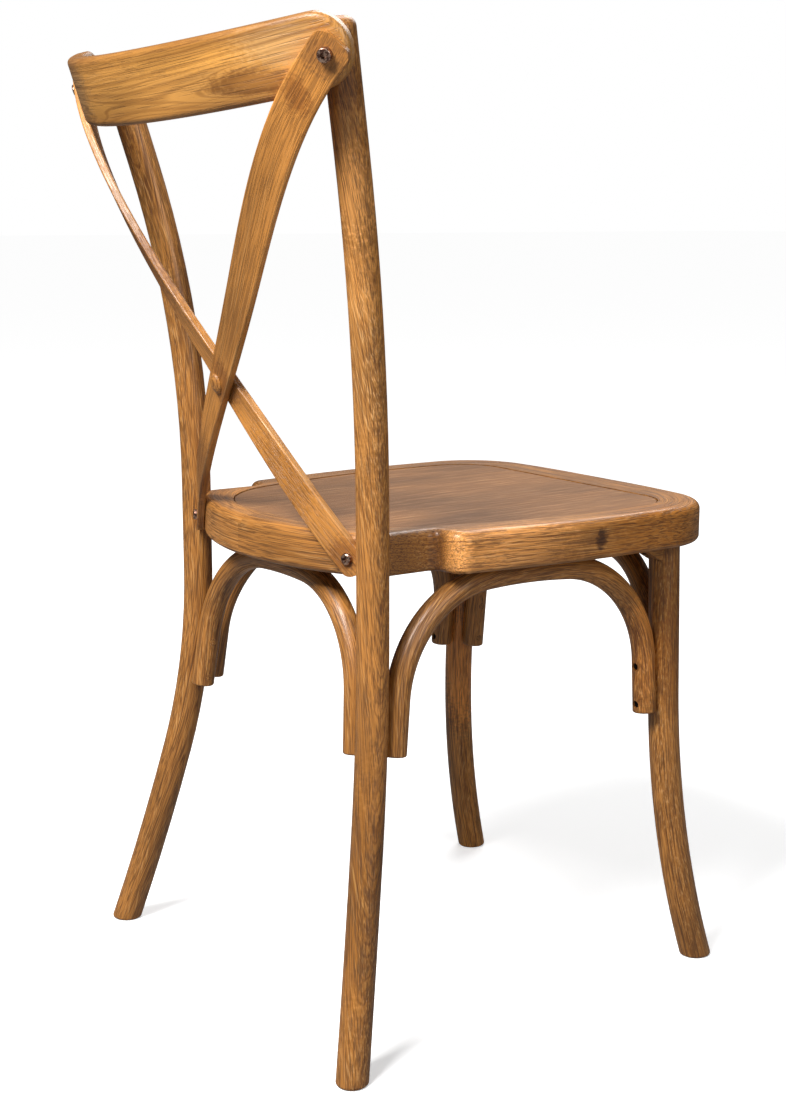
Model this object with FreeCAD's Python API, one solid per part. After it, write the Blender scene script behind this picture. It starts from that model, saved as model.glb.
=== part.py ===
"""Cross back dining chair: bentwood legs, ring seat with an inlaid panel, arched braces and a crossed back.

The chair stands on the floor plane and faces -Y. Its left side is +X. Every size is in millimetres.
"""
import FreeCAD, Part

import math
import os

from FreeCAD import Vector

# Seat ring
SEAT_HEIGHT = 460.0
SEAT_THICKNESS = 38.0
SEAT_FRONT_Y = -194.0
SEAT_FRONT_CROWN = 11.0
SEAT_FRONT_HALF = 194.5
SEAT_FRONT_BEND_X = 78.0
SEAT_FRONT_RADIUS = 800.0
SEAT_CORNER_RADIUS = 78.0
SEAT_MIDDLE_HALF = 202.0
SEAT_MIDDLE_Y = -8.0
SEAT_SIDE_RADIUS = 1000.0
SEAT_SHOULDER_HALF = 185.0
SEAT_SHOULDER_Y = 129.0
SEAT_SHOULDER_RADIUS = 17.0
SEAT_NECK_HALF = 156.0
SEAT_NECK_Y = 133.5
SEAT_NECK_RADIUS = 9.5
SEAT_REAR_Y = 241.0
SEAT_REAR_RADIUS = 281.0
SEAT_TOP_ROUND = 8.0
SEAT_BOTTOM_ROUND = 5.0

# Panel let into the ring, and the opening under it
PANEL_THICKNESS = 9.0
PANEL_DROP = 0.6
PANEL_GROOVE = 1.1
PANEL_EDGE_ROUND = 0.5
PANEL_FRONT_Y = -146.0
PANEL_FRONT_HALF = 164.5
PANEL_FRONT_CORNER = 48.0
PANEL_MIDDLE_HALF = 169.0
PANEL_REAR_HALF = 121.0
PANEL_REAR_Y = 212.0
PANEL_REAR_CORNER = 110.0
PANEL_SIDE_RADIUS = 600.0
OPENING_FRONT_Y = -122.0
OPENING_FRONT_HALF = 146.0
OPENING_FRONT_CORNER = 60.0
OPENING_MIDDLE_HALF = 143.0
OPENING_REAR_HALF = 104.0
OPENING_REAR_Y = 180.0
OPENING_REAR_CORNER = 58.0
SIDE_BEND_Y = 20.0

# Rear legs, which run on up as the back uprights
REAR_LEG_DIAMETER = 28.8
REAR_LEG_X = 160.0
REAR_LEG_Y = 202.0
WAIST_BELOW_SEAT = 42.0
WAIST_ABOVE_SEAT = 10.0
SABRE_RADIUS = 700.0
SABRE_TURN = 15.7
SABRE_SIDE = (0.695, 0.719)
FOOT_SWEEP_RADIUS = 3000.0
RAKE_RADIUS = 1100.0
RAKE_TURN = 16.4
RAKE_SIDE = (0.58, 0.815)
BACK_RISE = 420.0
UPRIGHT_DOME = 8.0
FOOT_ROUND = 2.5

# Front legs, tenoned into the ring
FRONT_LEG_DIAMETER = 30.0
FRONT_LEG_X = 158.6
FRONT_LEG_Y = -136.9
FRONT_LEG_LEAN = (0.058, 0.024)
FRONT_STRAIGHT = 147.0
FRONT_SWEEP_RADIUS = 930.0
FRONT_SWEEP_SIDE = (0.12, -0.99)
TENON_DIAMETER = 22.0
TENON_LENGTH = 25.0

# Arched braces
ARCH_DIAMETER = 22.6
ARCH_FOOT_DROP = 158.0
FRONT_ARCH_FOOT_DROP = 165.0
ARCH_SADDLE = 1.2
ARCH_FLAT = 0.6
ARCH_FOOT_ROUND = 2.0
REAR_ARCH_LEAN = 14.5
REAR_ARCH_SHOULDER = 105.0
REAR_ARCH_RADIUS = 600.0
FRONT_ARCH_LEAN = 6.0
FRONT_ARCH_SHOULDER = 70.0
FRONT_ARCH_RADIUS = 600.0
SIDE_ARCH_LEAN = 10.0
SIDE_ARCH_REAR_SHOULDER = 111.0
SIDE_ARCH_FRONT_SHOULDER = 100.0
SIDE_ARCH_RADIUS = 600.0
SIDE_ARCH_CROWN_Y = 38.0

# Crest rail, a straight board bent round a cone behind the uprights
CREST_BOLT_BELOW_TOP = 28.5
CREST_WRAP = 40.0
CREST_END_WRAP = 42.9
CREST_WIDTH = 59.5
CREST_THICKNESS = 18.3
CREST_BOLT_DROP = 2.4
CREST_HOUSING = 1.5
CREST_UPPER_CORNER = 29.0
CREST_LOWER_CORNER = 29.0
CREST_EDGE_ROUND = 5.0

# Crossed slats
SLAT_WIDTH = 26.5
SLAT_TOP_WIDTH = 34.5
SLAT_THICKNESS = 7.6
SLAT_STATIONS = 15
SLAT_FOOT_X = 134.0
SLAT_FOOT_BELOW_TOP = 21.0
SLAT_FOOT_CLIMB = 47.0
SLAT_FOOT_TIP = 16.0
SLAT_TOP_CLIMB = 47.0
SLAT_TOP_TIP = 13.5
SLAT_CROSS_RISE = 123.0
SLAT_CROSS_Y = 255.5
SLAT_UPPER_X = 76.0
SLAT_UPPER_Y = 276.0
SLAT_UPPER_RISE = 210.0
SLAT_FOOT_CORNER = 12.0
SLAT_TOP_CORNER = 10.0
SLAT_EDGE_ROUND = 1.5

# Screws that hold the arches, two through each foot
ARCH_SCREW_HEAD = 7.0
ARCH_SCREW_HEAD_HEIGHT = 2.6
ARCH_SCREW_SHANK = 3.8
ARCH_SCREW_LENGTH = 26.0
ARCH_SCREW_SINK = 5.0
ARCH_SCREW_LOW = 9.0
ARCH_SCREW_HIGH = 46.0
CROWN_SCREW_LENGTH = 34.0
CROWN_SCREW_SPACING = 30.0

# Bolts that hold the crest rail and the tops of the slats
CREST_BOLT_HEAD = 11.6
CREST_BOLT_HEAD_HEIGHT = 5.6
CREST_BOLT_SHANK = 6.0
CREST_BOLT_BITE = 19.0
CREST_BOLT_SOCKET = 5.0
CREST_INSERT_DIAMETER = 10.0
CREST_INSERT_LENGTH = 13.0

# Screws at the feet of the slats and at their crossing
SLAT_SCREW_HEAD = 10.5
SLAT_SCREW_HEAD_HEIGHT = 3.6
SLAT_SCREW_SHANK = 4.5
SLAT_SCREW_LENGTH = 34.0
CROSS_SCREW_LENGTH = 8.0
CROSS_SCREW_SINK = 5.0
BUTTON_WIDTH = 15.0
BUTTON_HEIGHT = 19.0
BUTTON_RISE = 4.5
BUTTON_STEM_LENGTH = 2.0

# Bolts that pull the uprights into the ring
SEAT_BOLT_HEAD = 10.0
SEAT_BOLT_HEAD_HEIGHT = 5.0
SEAT_BOLT_SHANK = 6.0
SEAT_BOLT_SOCKET = 4.0
SEAT_BOLT_REACH = 60.0
SEAT_BOLT_RISE = 14.0
SEAT_BOLT_ANGLE = 40.0
SEAT_BOLT_TIP = 2.0
SEAT_INSERT_DIAMETER = 10.0
SEAT_INSERT_LENGTH = 12.0
INSERT_DEPTH = 2.5
WASHER_DIAMETER = 16.0
WASHER_THICKNESS = 1.6

# Glue blocks behind the front legs
BLOCK_REACH = 31.0
BLOCK_WIDTH = 22.0
BLOCK_DROP = 25.0
BLOCK_TIP_DROP = 7.0
BLOCK_SCREW_LENGTH = 26.0

# Clearances between neighbours
SEAT_FIT = 0.15
BORE_FIT = 0.12
CROSS_FIT = 0.4

# Heights above the floor that follow from the seat
SEAT_BOTTOM = SEAT_HEIGHT - SEAT_THICKNESS
SEAT_BOLT_HEIGHT = SEAT_BOTTOM + SEAT_BOLT_RISE
ARCH_FOOT_HEIGHT = SEAT_BOTTOM - ARCH_FOOT_DROP
FRONT_ARCH_FOOT_HEIGHT = SEAT_BOTTOM - FRONT_ARCH_FOOT_DROP
UPRIGHT_TOP = SEAT_HEIGHT + BACK_RISE
CREST_BOLT_HEIGHT = UPRIGHT_TOP - CREST_BOLT_BELOW_TOP
SLAT_CROSS_HEIGHT = SEAT_HEIGHT + SLAT_CROSS_RISE
SLAT_UPPER_HEIGHT = SEAT_HEIGHT + SLAT_UPPER_RISE

REAR_LEG_RADIUS = REAR_LEG_DIAMETER / 2
FRONT_LEG_RADIUS = FRONT_LEG_DIAMETER / 2
ARCH_RADIUS = ARCH_DIAMETER / 2
FAR = 1500.0
ORIGIN = Vector(0, 0, 0)
X = Vector(1, 0, 0)
Y = Vector(0, 1, 0)
UP = Vector(0, 0, 1)
DOWN = Vector(0, 0, -1)


def unit(vector):
    """A copy of the vector with length 1."""
    return Vector(vector).normalize()


def mirror_image(shape):
    """The shape on the other side of the chair's middle plane."""
    return shape.mirror(ORIGIN, X)


def line_edge(start, end):
    """A straight edge."""
    return Part.LineSegment(start, end).toShape()


def arc_edge(start, middle, end):
    """A circular edge through three points."""
    return Part.Arc(start, middle, end).toShape()


def wire_of(edges):
    """One wire from edges in any order."""
    return Part.Wire(Part.__sortEdges__(edges))


def merged(solids):
    """One solid from solids that touch or overlap."""
    return solids[0].multiFuse(solids[1:]).removeSplitter()


def rod_along(wire, radius):
    """A round bar along a smooth wire."""
    edge = wire.OrderedEdges[0]
    start = wire.OrderedVertexes[0].Point
    at_start = edge.valueAt(edge.FirstParameter).distanceToPoint(start) < 1e-3
    heading = edge.tangentAt(edge.FirstParameter if at_start else edge.LastParameter)
    section = Part.Wire([Part.makeCircle(radius, start, heading)])
    return wire.makePipeShell([section], True, False)


def below(height):
    """Everything from under the floor up to a height."""
    return Part.makeBox(2 * FAR, 2 * FAR, height + FAR, Vector(-FAR, -FAR, -FAR))


def above(height):
    """Everything from a height upwards."""
    return Part.makeBox(2 * FAR, 2 * FAR, FAR, Vector(-FAR, -FAR, height))


def centre_at(wire, height):
    """The point where a leg's centreline passes a height."""
    plane = Part.makePlane(2 * FAR, 2 * FAR, Vector(-FAR, -FAR, height))
    return wire.distToShape(plane)[1][0][0]


def climb_at(wire, height):
    """The upward direction of a leg's centreline at a height."""
    return unit(centre_at(wire, height + 5) - centre_at(wire, height - 5))


def rounded_path(corners):
    """Flat edges through corners (x, y, radius), with an arc in each corner between the two ends."""
    points = [Vector(x, y, 0) for x, y, radius in corners]
    edges = []
    at = points[0]
    for before, corner, after, radius in zip(points, points[1:], points[2:], [c[2] for c in corners[1:]]):
        back = unit(before - corner)
        onward = unit(after - corner)
        half = back.getAngle(onward) / 2
        run = radius / math.tan(half)
        middle = corner + unit(back + onward) * (radius / math.sin(half) - radius)
        edges.append(line_edge(at, corner + back * run))
        edges.append(arc_edge(corner + back * run, middle, corner + onward * run))
        at = corner + onward * run
    edges.append(line_edge(at, points[-1]))
    return edges


def outline_of(half_edges, closing=()):
    """A flat face from the left half of an outline, its mirror image and any closing edges."""
    edges = half_edges + [mirror_image(edge) for edge in half_edges] + list(closing)
    return Part.Face(wire_of(edges))


def raised(face, low, high):
    """The solid over a flat face between two heights."""
    moved = face.copy()
    moved.translate(Vector(0, 0, low))
    return moved.extrude(Vector(0, 0, high - low))


def frame_of(right, forward, normal, origin):
    """The placement of a local frame whose three directions and origin are given."""
    a, b, c = unit(right), unit(forward), unit(normal)
    return FreeCAD.Matrix(a.x, b.x, c.x, origin.x,
                          a.y, b.y, c.y, origin.y,
                          a.z, b.z, c.z, origin.z,
                          0, 0, 0, 1)


class Route:
    """A centreline of straight runs and tangent arcs, drawn from a point along a heading."""

    def __init__(self, start, heading):
        self.at = Vector(start)
        self.heading = unit(heading)
        self.edges = []

    def straight(self, length):
        """Draw a straight run."""
        end = self.at + self.heading * length
        self.edges.append(line_edge(self.at, end))
        self.at = end

    def bend(self, radius, degrees, towards):
        """Draw an arc that turns the heading towards a side."""
        side = Vector(towards[0], towards[1], 0)
        inward = unit(side - self.heading * self.heading.dot(side))
        turn = math.radians(degrees)
        start, heading = self.at, self.heading

        def point(angle):
            return start + heading * (radius * math.sin(angle)) + inward * (radius * (1 - math.cos(angle)))

        self.at = point(turn)
        self.heading = unit(heading * math.cos(turn) + inward * math.sin(turn))
        self.edges.append(arc_edge(start, point(turn / 2), self.at))


class Fastener:
    """A headed screw or bolt whose head bears on a point and whose shank runs along a direction."""

    def __init__(self, bearing, direction, head, head_height, shank, length, socket=0.0, dome=0.0):
        self.bearing = Vector(bearing)
        self.direction = unit(direction)
        self.head = head
        self.head_height = head_height
        self.shank = shank
        self.length = length
        self.socket = socket
        self.dome = dome

    def rod(self, radius, start, end):
        """A cylinder between two distances along the fastener from its bearing point."""
        base = self.bearing + self.direction * start
        return Part.makeCylinder(radius, end - start, base, self.direction)

    def solid(self):
        """The fastener, with a hexagonal or a cross recess in its head."""
        head = self.rod(self.head / 2, -self.head_height, 0)
        top = self.bearing - self.direction * self.head_height
        if self.dome:
            rim = [edge for edge in head.Edges if edge.Closed and edge.CenterOfMass.isEqual(top, 0.01)]
            head = head.makeFillet(self.dome, rim)
        across = unit(self.direction.cross(UP if abs(self.direction.z) < 0.9 else X))
        upright = unit(across.cross(self.direction))
        sunk = top + self.direction * (self.head_height * 0.55)
        if self.socket:
            circle = self.socket / math.sqrt(3)
            turns = [math.radians(60 * step) for step in range(7)]
            ring = [sunk + across * (circle * math.cos(a)) + upright * (circle * math.sin(a)) for a in turns]
            recess = Part.Face(Part.makePolygon(ring)).extrude(self.direction * -self.head_height)
        else:
            recess = merged([self.slot(sunk, across, upright), self.slot(sunk, upright, across)])
        return merged([head.cut(recess), self.rod(self.shank / 2, 0, self.length)])

    def slot(self, base, along, beside):
        """One arm of the cross recess."""
        reach, half = self.head * 0.27, self.head * 0.07
        signs = [(-1, -1), (1, -1), (1, 1), (-1, 1), (-1, -1)]
        ring = [base + along * (reach * a) + beside * (half * b) for a, b in signs]
        return Part.Face(Part.makePolygon(ring)).extrude(self.direction * -self.head_height)

    def bore(self, pocket=0.0):
        """The hole that the fastener needs, with a pocket that lets its head in from outside."""
        hole = self.rod(self.shank / 2 + BORE_FIT, -1, self.length + 1)
        if not pocket:
            return hole
        return merged([hole, self.rod(self.head / 2 + BORE_FIT, -pocket, 0)])


def arch_screw(bearing, direction, length=ARCH_SCREW_LENGTH):
    """One of the small wood screws."""
    return Fastener(bearing, direction, ARCH_SCREW_HEAD, ARCH_SCREW_HEAD_HEIGHT, ARCH_SCREW_SHANK, length)


# Legs, drawn for the left side
def rear_leg_wire():
    """Centreline of the rear leg, from below the floor to the top of the back."""
    lower = Route((REAR_LEG_X, REAR_LEG_Y, SEAT_BOTTOM), DOWN)
    lower.straight(WAIST_BELOW_SEAT)
    lower.bend(SABRE_RADIUS, SABRE_TURN, SABRE_SIDE)
    turned = math.sin(math.radians(SABRE_TURN)) + (lower.at.z + REAR_LEG_DIAMETER) / FOOT_SWEEP_RADIUS
    lower.bend(FOOT_SWEEP_RADIUS, math.degrees(math.asin(turned)) - SABRE_TURN, SABRE_SIDE)
    upper = Route((REAR_LEG_X, REAR_LEG_Y, SEAT_BOTTOM), UP)
    upper.straight(SEAT_THICKNESS + WAIST_ABOVE_SEAT)
    upper.bend(RAKE_RADIUS, RAKE_TURN, RAKE_SIDE)
    upper.straight((UPRIGHT_TOP - upper.at.z) / upper.heading.z)
    return wire_of(lower.edges + upper.edges)


def front_leg_wire():
    """Centreline of the front leg, from inside the ring to below the floor."""
    lean = Vector(FRONT_LEG_LEAN[0], FRONT_LEG_LEAN[1], -1)
    start = Vector(FRONT_LEG_X, FRONT_LEG_Y, SEAT_BOTTOM) - lean * TENON_LENGTH
    route = Route(start, lean)
    route.straight(FRONT_STRAIGHT + TENON_LENGTH)
    drop = route.at.z + FRONT_LEG_DIAMETER
    route.bend(FRONT_SWEEP_RADIUS, math.degrees(math.asin(drop / FRONT_SWEEP_RADIUS)), FRONT_SWEEP_SIDE)
    return wire_of(route.edges)


REAR_WIRE = rear_leg_wire()
FRONT_WIRE = front_leg_wire()


def footed(leg):
    """The leg cut level at the floor, with a small round all about its foot."""
    leg = leg.cut(below(0))
    edges = [edge for edge in leg.Edges if edge.BoundBox.ZMax < 0.01]
    return leg.makeFillet(FOOT_ROUND, edges)


def make_rear_leg():
    """Rear leg and upright in one bent rod with a domed top."""
    leg = footed(rod_along(REAR_WIRE, REAR_LEG_RADIUS))
    highest = max(edge.CenterOfMass.z for edge in leg.Edges if edge.Closed)
    top = [edge for edge in leg.Edges if edge.Closed and edge.CenterOfMass.z > highest - 0.01]
    return leg.makeFillet(UPRIGHT_DOME, top)


def make_front_leg():
    """Front leg with a flat shoulder under the ring and a round tenon above it."""
    leg = footed(rod_along(FRONT_WIRE, FRONT_LEG_RADIUS)).cut(above(SEAT_BOTTOM))
    return merged([leg, tenon(TENON_DIAMETER / 2, TENON_LENGTH)])


def tenon(radius, length):
    """A cylinder up the front leg's axis from just inside its shoulder."""
    start = centre_at(FRONT_WIRE, SEAT_BOTTOM)
    axis = climb_at(FRONT_WIRE, SEAT_BOTTOM)
    return Part.makeCylinder(radius, length + FOOT_ROUND, start - axis * FOOT_ROUND, axis)


# Arches
def shoulder(foot, lean, inward, normal, hub, crown_radius, radius):
    """Straight run and shoulder arc from a foot to the crown circle, and the point where they meet it."""
    rise = unit(lean - normal * lean.dot(normal))
    side = unit(inward - rise * inward.dot(rise))
    offset = foot + side * radius - hub
    along = offset.dot(rise)
    length = math.sqrt(along ** 2 - offset.dot(offset) + (crown_radius - radius) ** 2) - along
    spring = foot + rise * length
    centre = spring + side * radius
    meet = hub + unit(centre - hub) * crown_radius
    middle = centre + unit(unit(spring - centre) + unit(meet - centre)) * radius
    return [line_edge(foot, spring), arc_edge(spring, middle, meet)], meet


class Arch:
    """A bent bar with two feet against the legs and its crown flat under the ring."""

    def __init__(self, feet, leans, pushes, crown, shoulders, crown_radius):
        self.feet = feet
        self.pushes = pushes
        self.crown = crown
        self.normal = unit((feet[1] - feet[0]).cross(crown - feet[0]))
        level = unit(self.normal.cross(UP))
        self.level = level if level.dot(feet[1] - feet[0]) > 0 else level * -1
        rise = unit(self.level.cross(self.normal))
        self.rise = rise if rise.z > 0 else rise * -1
        self.leans = leans
        hub = crown - self.rise * crown_radius
        sides = (self.level, self.level * -1)
        (first, meet), (second, end) = [
            shoulder(foot, lean, side, self.normal, hub, crown_radius, radius)
            for foot, lean, side, radius in zip(feet, leans, sides, shoulders)]
        self.wire = wire_of(first + [arc_edge(meet, crown, end)] + second)

    def foot_screws(self):
        """Two screws through each foot, driven level into the leg."""
        screws = []
        for foot, lean, push in zip(self.feet, self.leans, self.pushes):
            rise = unit(lean - self.normal * lean.dot(self.normal))
            for height in (ARCH_SCREW_LOW, ARCH_SCREW_HIGH):
                outside = foot + rise * height - push * (ARCH_RADIUS - ARCH_SCREW_SINK)
                screws.append(arch_screw(outside, push))
        return screws

    def foot_plugs(self):
        """A wood plug over the head of each foot screw, flush with the bar."""
        bar = rod_along(self.wire, ARCH_RADIUS)
        outside, inside = -3 * ARCH_SCREW_SINK, -ARCH_SCREW_HEAD_HEIGHT - BORE_FIT
        return [bar.common(screw.rod(ARCH_SCREW_HEAD / 2, outside, inside)) for screw in self.foot_screws()]

    def crown_screws(self):
        """Two screws from below through the crown, driven up into the ring."""
        under = self.crown - UP * (ARCH_RADIUS - ARCH_SCREW_SINK)
        return [arch_screw(under + self.level * (side * CROWN_SCREW_SPACING / 2), UP, CROWN_SCREW_LENGTH)
                for side in (-1, 1)]

    def solid(self, legs):
        """The bar with saddles for the legs, a flat for the ring and the holes for its screws."""
        bar = rod_along(self.wire, ARCH_RADIUS)
        ends = [edge for edge in bar.Edges if edge.Closed
                and any(edge.CenterOfMass.isEqual(foot, 0.01) for foot in self.feet)]
        bar = bar.makeFillet(ARCH_FOOT_ROUND, ends)
        holes = [screw.bore(3 * ARCH_SCREW_SINK) for screw in self.foot_screws() + self.crown_screws()]
        return bar.cut(legs + holes + [above(SEAT_BOTTOM)])


def foot_beside(wire, height, push, leg_radius):
    """Centre of an arch's foot that pushes against a leg at a height."""
    return centre_at(wire, height) - push * (leg_radius + ARCH_RADIUS - ARCH_SADDLE)


def cross_arch(wire, leg_radius, height, lean, shoulder_radius, crown_radius):
    """An arch from the right leg to the left leg of a pair."""
    left = foot_beside(wire, height, X, leg_radius)
    right = Vector(-left.x, left.y, left.z)
    left_lean = climb_at(wire, height)
    right_lean = Vector(-left_lean.x, left_lean.y, left_lean.z)
    crown = Vector(0, left.y - lean, SEAT_BOTTOM + ARCH_FLAT - ARCH_RADIUS)
    return Arch([right, left], [right_lean, left_lean], [X * -1, X], crown,
                [shoulder_radius, shoulder_radius], crown_radius)


def side_arch():
    """The arch from the left front leg to the left rear leg."""
    front = foot_beside(FRONT_WIRE, FRONT_ARCH_FOOT_HEIGHT, Y * -1, FRONT_LEG_RADIUS)
    rear = foot_beside(REAR_WIRE, ARCH_FOOT_HEIGHT, Y, REAR_LEG_RADIUS)
    crown_x = (front.x + rear.x) / 2 - SIDE_ARCH_LEAN
    crown = Vector(crown_x, SIDE_ARCH_CROWN_Y, SEAT_BOTTOM + ARCH_FLAT - ARCH_RADIUS)
    leans = [climb_at(FRONT_WIRE, FRONT_ARCH_FOOT_HEIGHT), climb_at(REAR_WIRE, ARCH_FOOT_HEIGHT)]
    return Arch([front, rear], leans, [Y * -1, Y], crown,
                [SIDE_ARCH_FRONT_SHOULDER, SIDE_ARCH_REAR_SHOULDER], SIDE_ARCH_RADIUS)


# Seat
def ring_outline():
    """Outer outline of the ring, necked in ahead of the uprights."""
    rear_y = SEAT_REAR_Y - SEAT_REAR_RADIUS + math.sqrt(SEAT_REAR_RADIUS ** 2 - SEAT_NECK_HALF ** 2)
    half = rounded_path([
        (0, SEAT_FRONT_Y, 0),
        (SEAT_FRONT_BEND_X, SEAT_FRONT_Y, SEAT_FRONT_RADIUS),
        (SEAT_FRONT_HALF, SEAT_FRONT_Y + SEAT_FRONT_CROWN, SEAT_CORNER_RADIUS),
        (SEAT_MIDDLE_HALF, SEAT_MIDDLE_Y, SEAT_SIDE_RADIUS),
        (SEAT_SHOULDER_HALF, SEAT_SHOULDER_Y, SEAT_SHOULDER_RADIUS),
        (SEAT_NECK_HALF, SEAT_NECK_Y, SEAT_NECK_RADIUS),
        (SEAT_NECK_HALF, rear_y, 0)])
    end = Vector(SEAT_NECK_HALF, rear_y, 0)
    return outline_of(half, [arc_edge(end, Vector(0, SEAT_REAR_Y, 0), Vector(-end.x, end.y, 0))])


def inner_outline(front_y, front_half, front_corner, middle_half, rear_half, rear_y, rear_corner, grow=0.0):
    """A rounded outline that narrows towards the rear, for the panel and for the opening under it."""
    return outline_of(rounded_path([
        (0, front_y - grow, 0),
        (front_half + grow, front_y - grow, front_corner + grow),
        (middle_half + grow, SIDE_BEND_Y, PANEL_SIDE_RADIUS),
        (rear_half + grow, rear_y + grow, rear_corner + grow),
        (0, rear_y + grow, 0)]))


def panel_outline(grow=0.0):
    """Outline of the panel, or of the rebate that it lies in."""
    return inner_outline(PANEL_FRONT_Y, PANEL_FRONT_HALF, PANEL_FRONT_CORNER, PANEL_MIDDLE_HALF,
                         PANEL_REAR_HALF, PANEL_REAR_Y, PANEL_REAR_CORNER, grow)


def opening_outline():
    """Outline of the opening through the ring."""
    return inner_outline(OPENING_FRONT_Y, OPENING_FRONT_HALF, OPENING_FRONT_CORNER, OPENING_MIDDLE_HALF,
                         OPENING_REAR_HALF, OPENING_REAR_Y, OPENING_REAR_CORNER)


def make_seat_frame(bores):
    """The ring, with a rebate for the panel, an opening under it, leg sockets and screw holes."""
    ring = raised(ring_outline(), SEAT_BOTTOM, SEAT_HEIGHT).removeSplitter()
    tails = [edge for edge in ring.Edges if edge.BoundBox.ZLength > SEAT_THICKNESS / 2
             and edge.CenterOfMass.y > SEAT_NECK_Y + 2 * SEAT_NECK_RADIUS]
    ring = ring.makeFillet(SEAT_NECK_RADIUS, tails)
    low = [edge for edge in ring.Edges if edge.BoundBox.ZMax < SEAT_BOTTOM + 0.01]
    ring = ring.makeFillet(SEAT_BOTTOM_ROUND, low)
    high = [edge for edge in ring.Edges if edge.BoundBox.ZMin > SEAT_HEIGHT - 0.01]
    ring = ring.makeFillet(SEAT_TOP_ROUND, high)
    ledge = SEAT_HEIGHT - PANEL_DROP - PANEL_THICKNESS
    return ring.cut([raised(panel_outline(PANEL_GROOVE), ledge, SEAT_HEIGHT + 1),
                     raised(opening_outline(), SEAT_BOTTOM - 1, SEAT_HEIGHT)] + bores)


def make_seat_panel():
    """The panel that lies on the ledge of the ring."""
    top = SEAT_HEIGHT - PANEL_DROP
    panel = raised(panel_outline(), top - PANEL_THICKNESS, top)
    rim = [edge for edge in panel.Edges if edge.BoundBox.ZMin > top - 0.01]
    return panel.makeFillet(PANEL_EDGE_ROUND, rim)


def seat_bolt_direction():
    """Level direction from the inside of the ring out to the left upright."""
    angle = math.radians(SEAT_BOLT_ANGLE)
    return Vector(math.cos(angle), math.sin(angle), 0)


# Back
class Cone:
    """The cone that the crest rail is bent round, with its axis upright in the middle plane."""

    def __init__(self):
        centre = centre_at(REAR_WIRE, CREST_BOLT_HEIGHT)
        climb = climb_at(REAR_WIRE, CREST_BOLT_HEIGHT)
        wrap = math.radians(CREST_WRAP)
        level = Vector(math.sin(wrap), math.cos(wrap), 0)
        self.slope = climb.dot(level) / climb.z
        stretch = math.sqrt(1 + self.slope ** 2)
        self.axis_y = centre.y - centre.x / math.tan(wrap)
        self.inner = centre.x / math.sin(wrap) + (REAR_LEG_RADIUS - CREST_HOUSING) * stretch
        self.outer = self.inner + CREST_THICKNESS * stretch

    def radius(self, height, base):
        """Radius of the cone at a height, given its radius at the height of the bolts."""
        return base + self.slope * (height - CREST_BOLT_HEIGHT)

    def frustum(self, base, wrap):
        """The solid inside the cone, from the crossing of the slats upwards, over a wrap angle each way."""
        low, high = SLAT_CROSS_HEIGHT, 2 * CREST_BOLT_HEIGHT - SLAT_CROSS_HEIGHT
        cone = Part.makeCone(self.radius(low, base), self.radius(high, base), high - low,
                             Vector(0, self.axis_y, low), UP, 2 * wrap)
        cone.rotate(Vector(0, self.axis_y, 0), UP, 90 - wrap)
        return cone

    def surface(self, degrees, height, base):
        """The point on the cone at an angle round from straight back, and at a height."""
        turn = math.radians(degrees)
        radius = self.radius(height, base)
        return Vector(radius * math.sin(turn), self.axis_y + radius * math.cos(turn), height)

    def normal(self, degrees):
        """The outward normal at an angle round from straight back."""
        turn = math.radians(degrees)
        return unit(Vector(math.sin(turn), math.cos(turn), -self.slope))


CONE = Cone()


def make_crest_rail(cuts):
    """The crest rail between two planes square to its middle, with rounded ends and edges."""
    board = CONE.frustum(CONE.outer, CREST_END_WRAP).cut(CONE.frustum(CONE.inner, 180))
    bolt = CONE.surface(CREST_WRAP, CREST_BOLT_HEIGHT, CONE.outer)
    generator = unit(Vector(0, CONE.slope, 1))
    middle = generator * (generator.dot(bolt) + CREST_BOLT_DROP)
    keep = Part.makeBox(2 * FAR, 2 * FAR, CREST_WIDTH, Vector(-FAR, -FAR, -CREST_WIDTH / 2))
    keep.rotate(ORIGIN, X, -math.degrees(math.atan(CONE.slope)))
    keep.translate(middle)
    board = board.common(keep)
    corners = [edge.CenterOfMass.z for edge in board.Edges if edge.Length < CREST_WIDTH / 2]
    for radius, level in ((CREST_UPPER_CORNER, max(corners)), (CREST_LOWER_CORNER, min(corners))):
        ends = [edge for edge in board.Edges if edge.Length < CREST_WIDTH / 2
                and abs(edge.CenterOfMass.z - level) < CREST_EDGE_ROUND
                and abs(edge.CenterOfMass.x) > REAR_LEG_X]
        board = board.makeFillet(radius, ends)
    rims = [edge for edge in board.Edges if edge.Length > CREST_THICKNESS * 1.5]
    return board.makeFillet(CREST_EDGE_ROUND, rims).cut(cuts)


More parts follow.
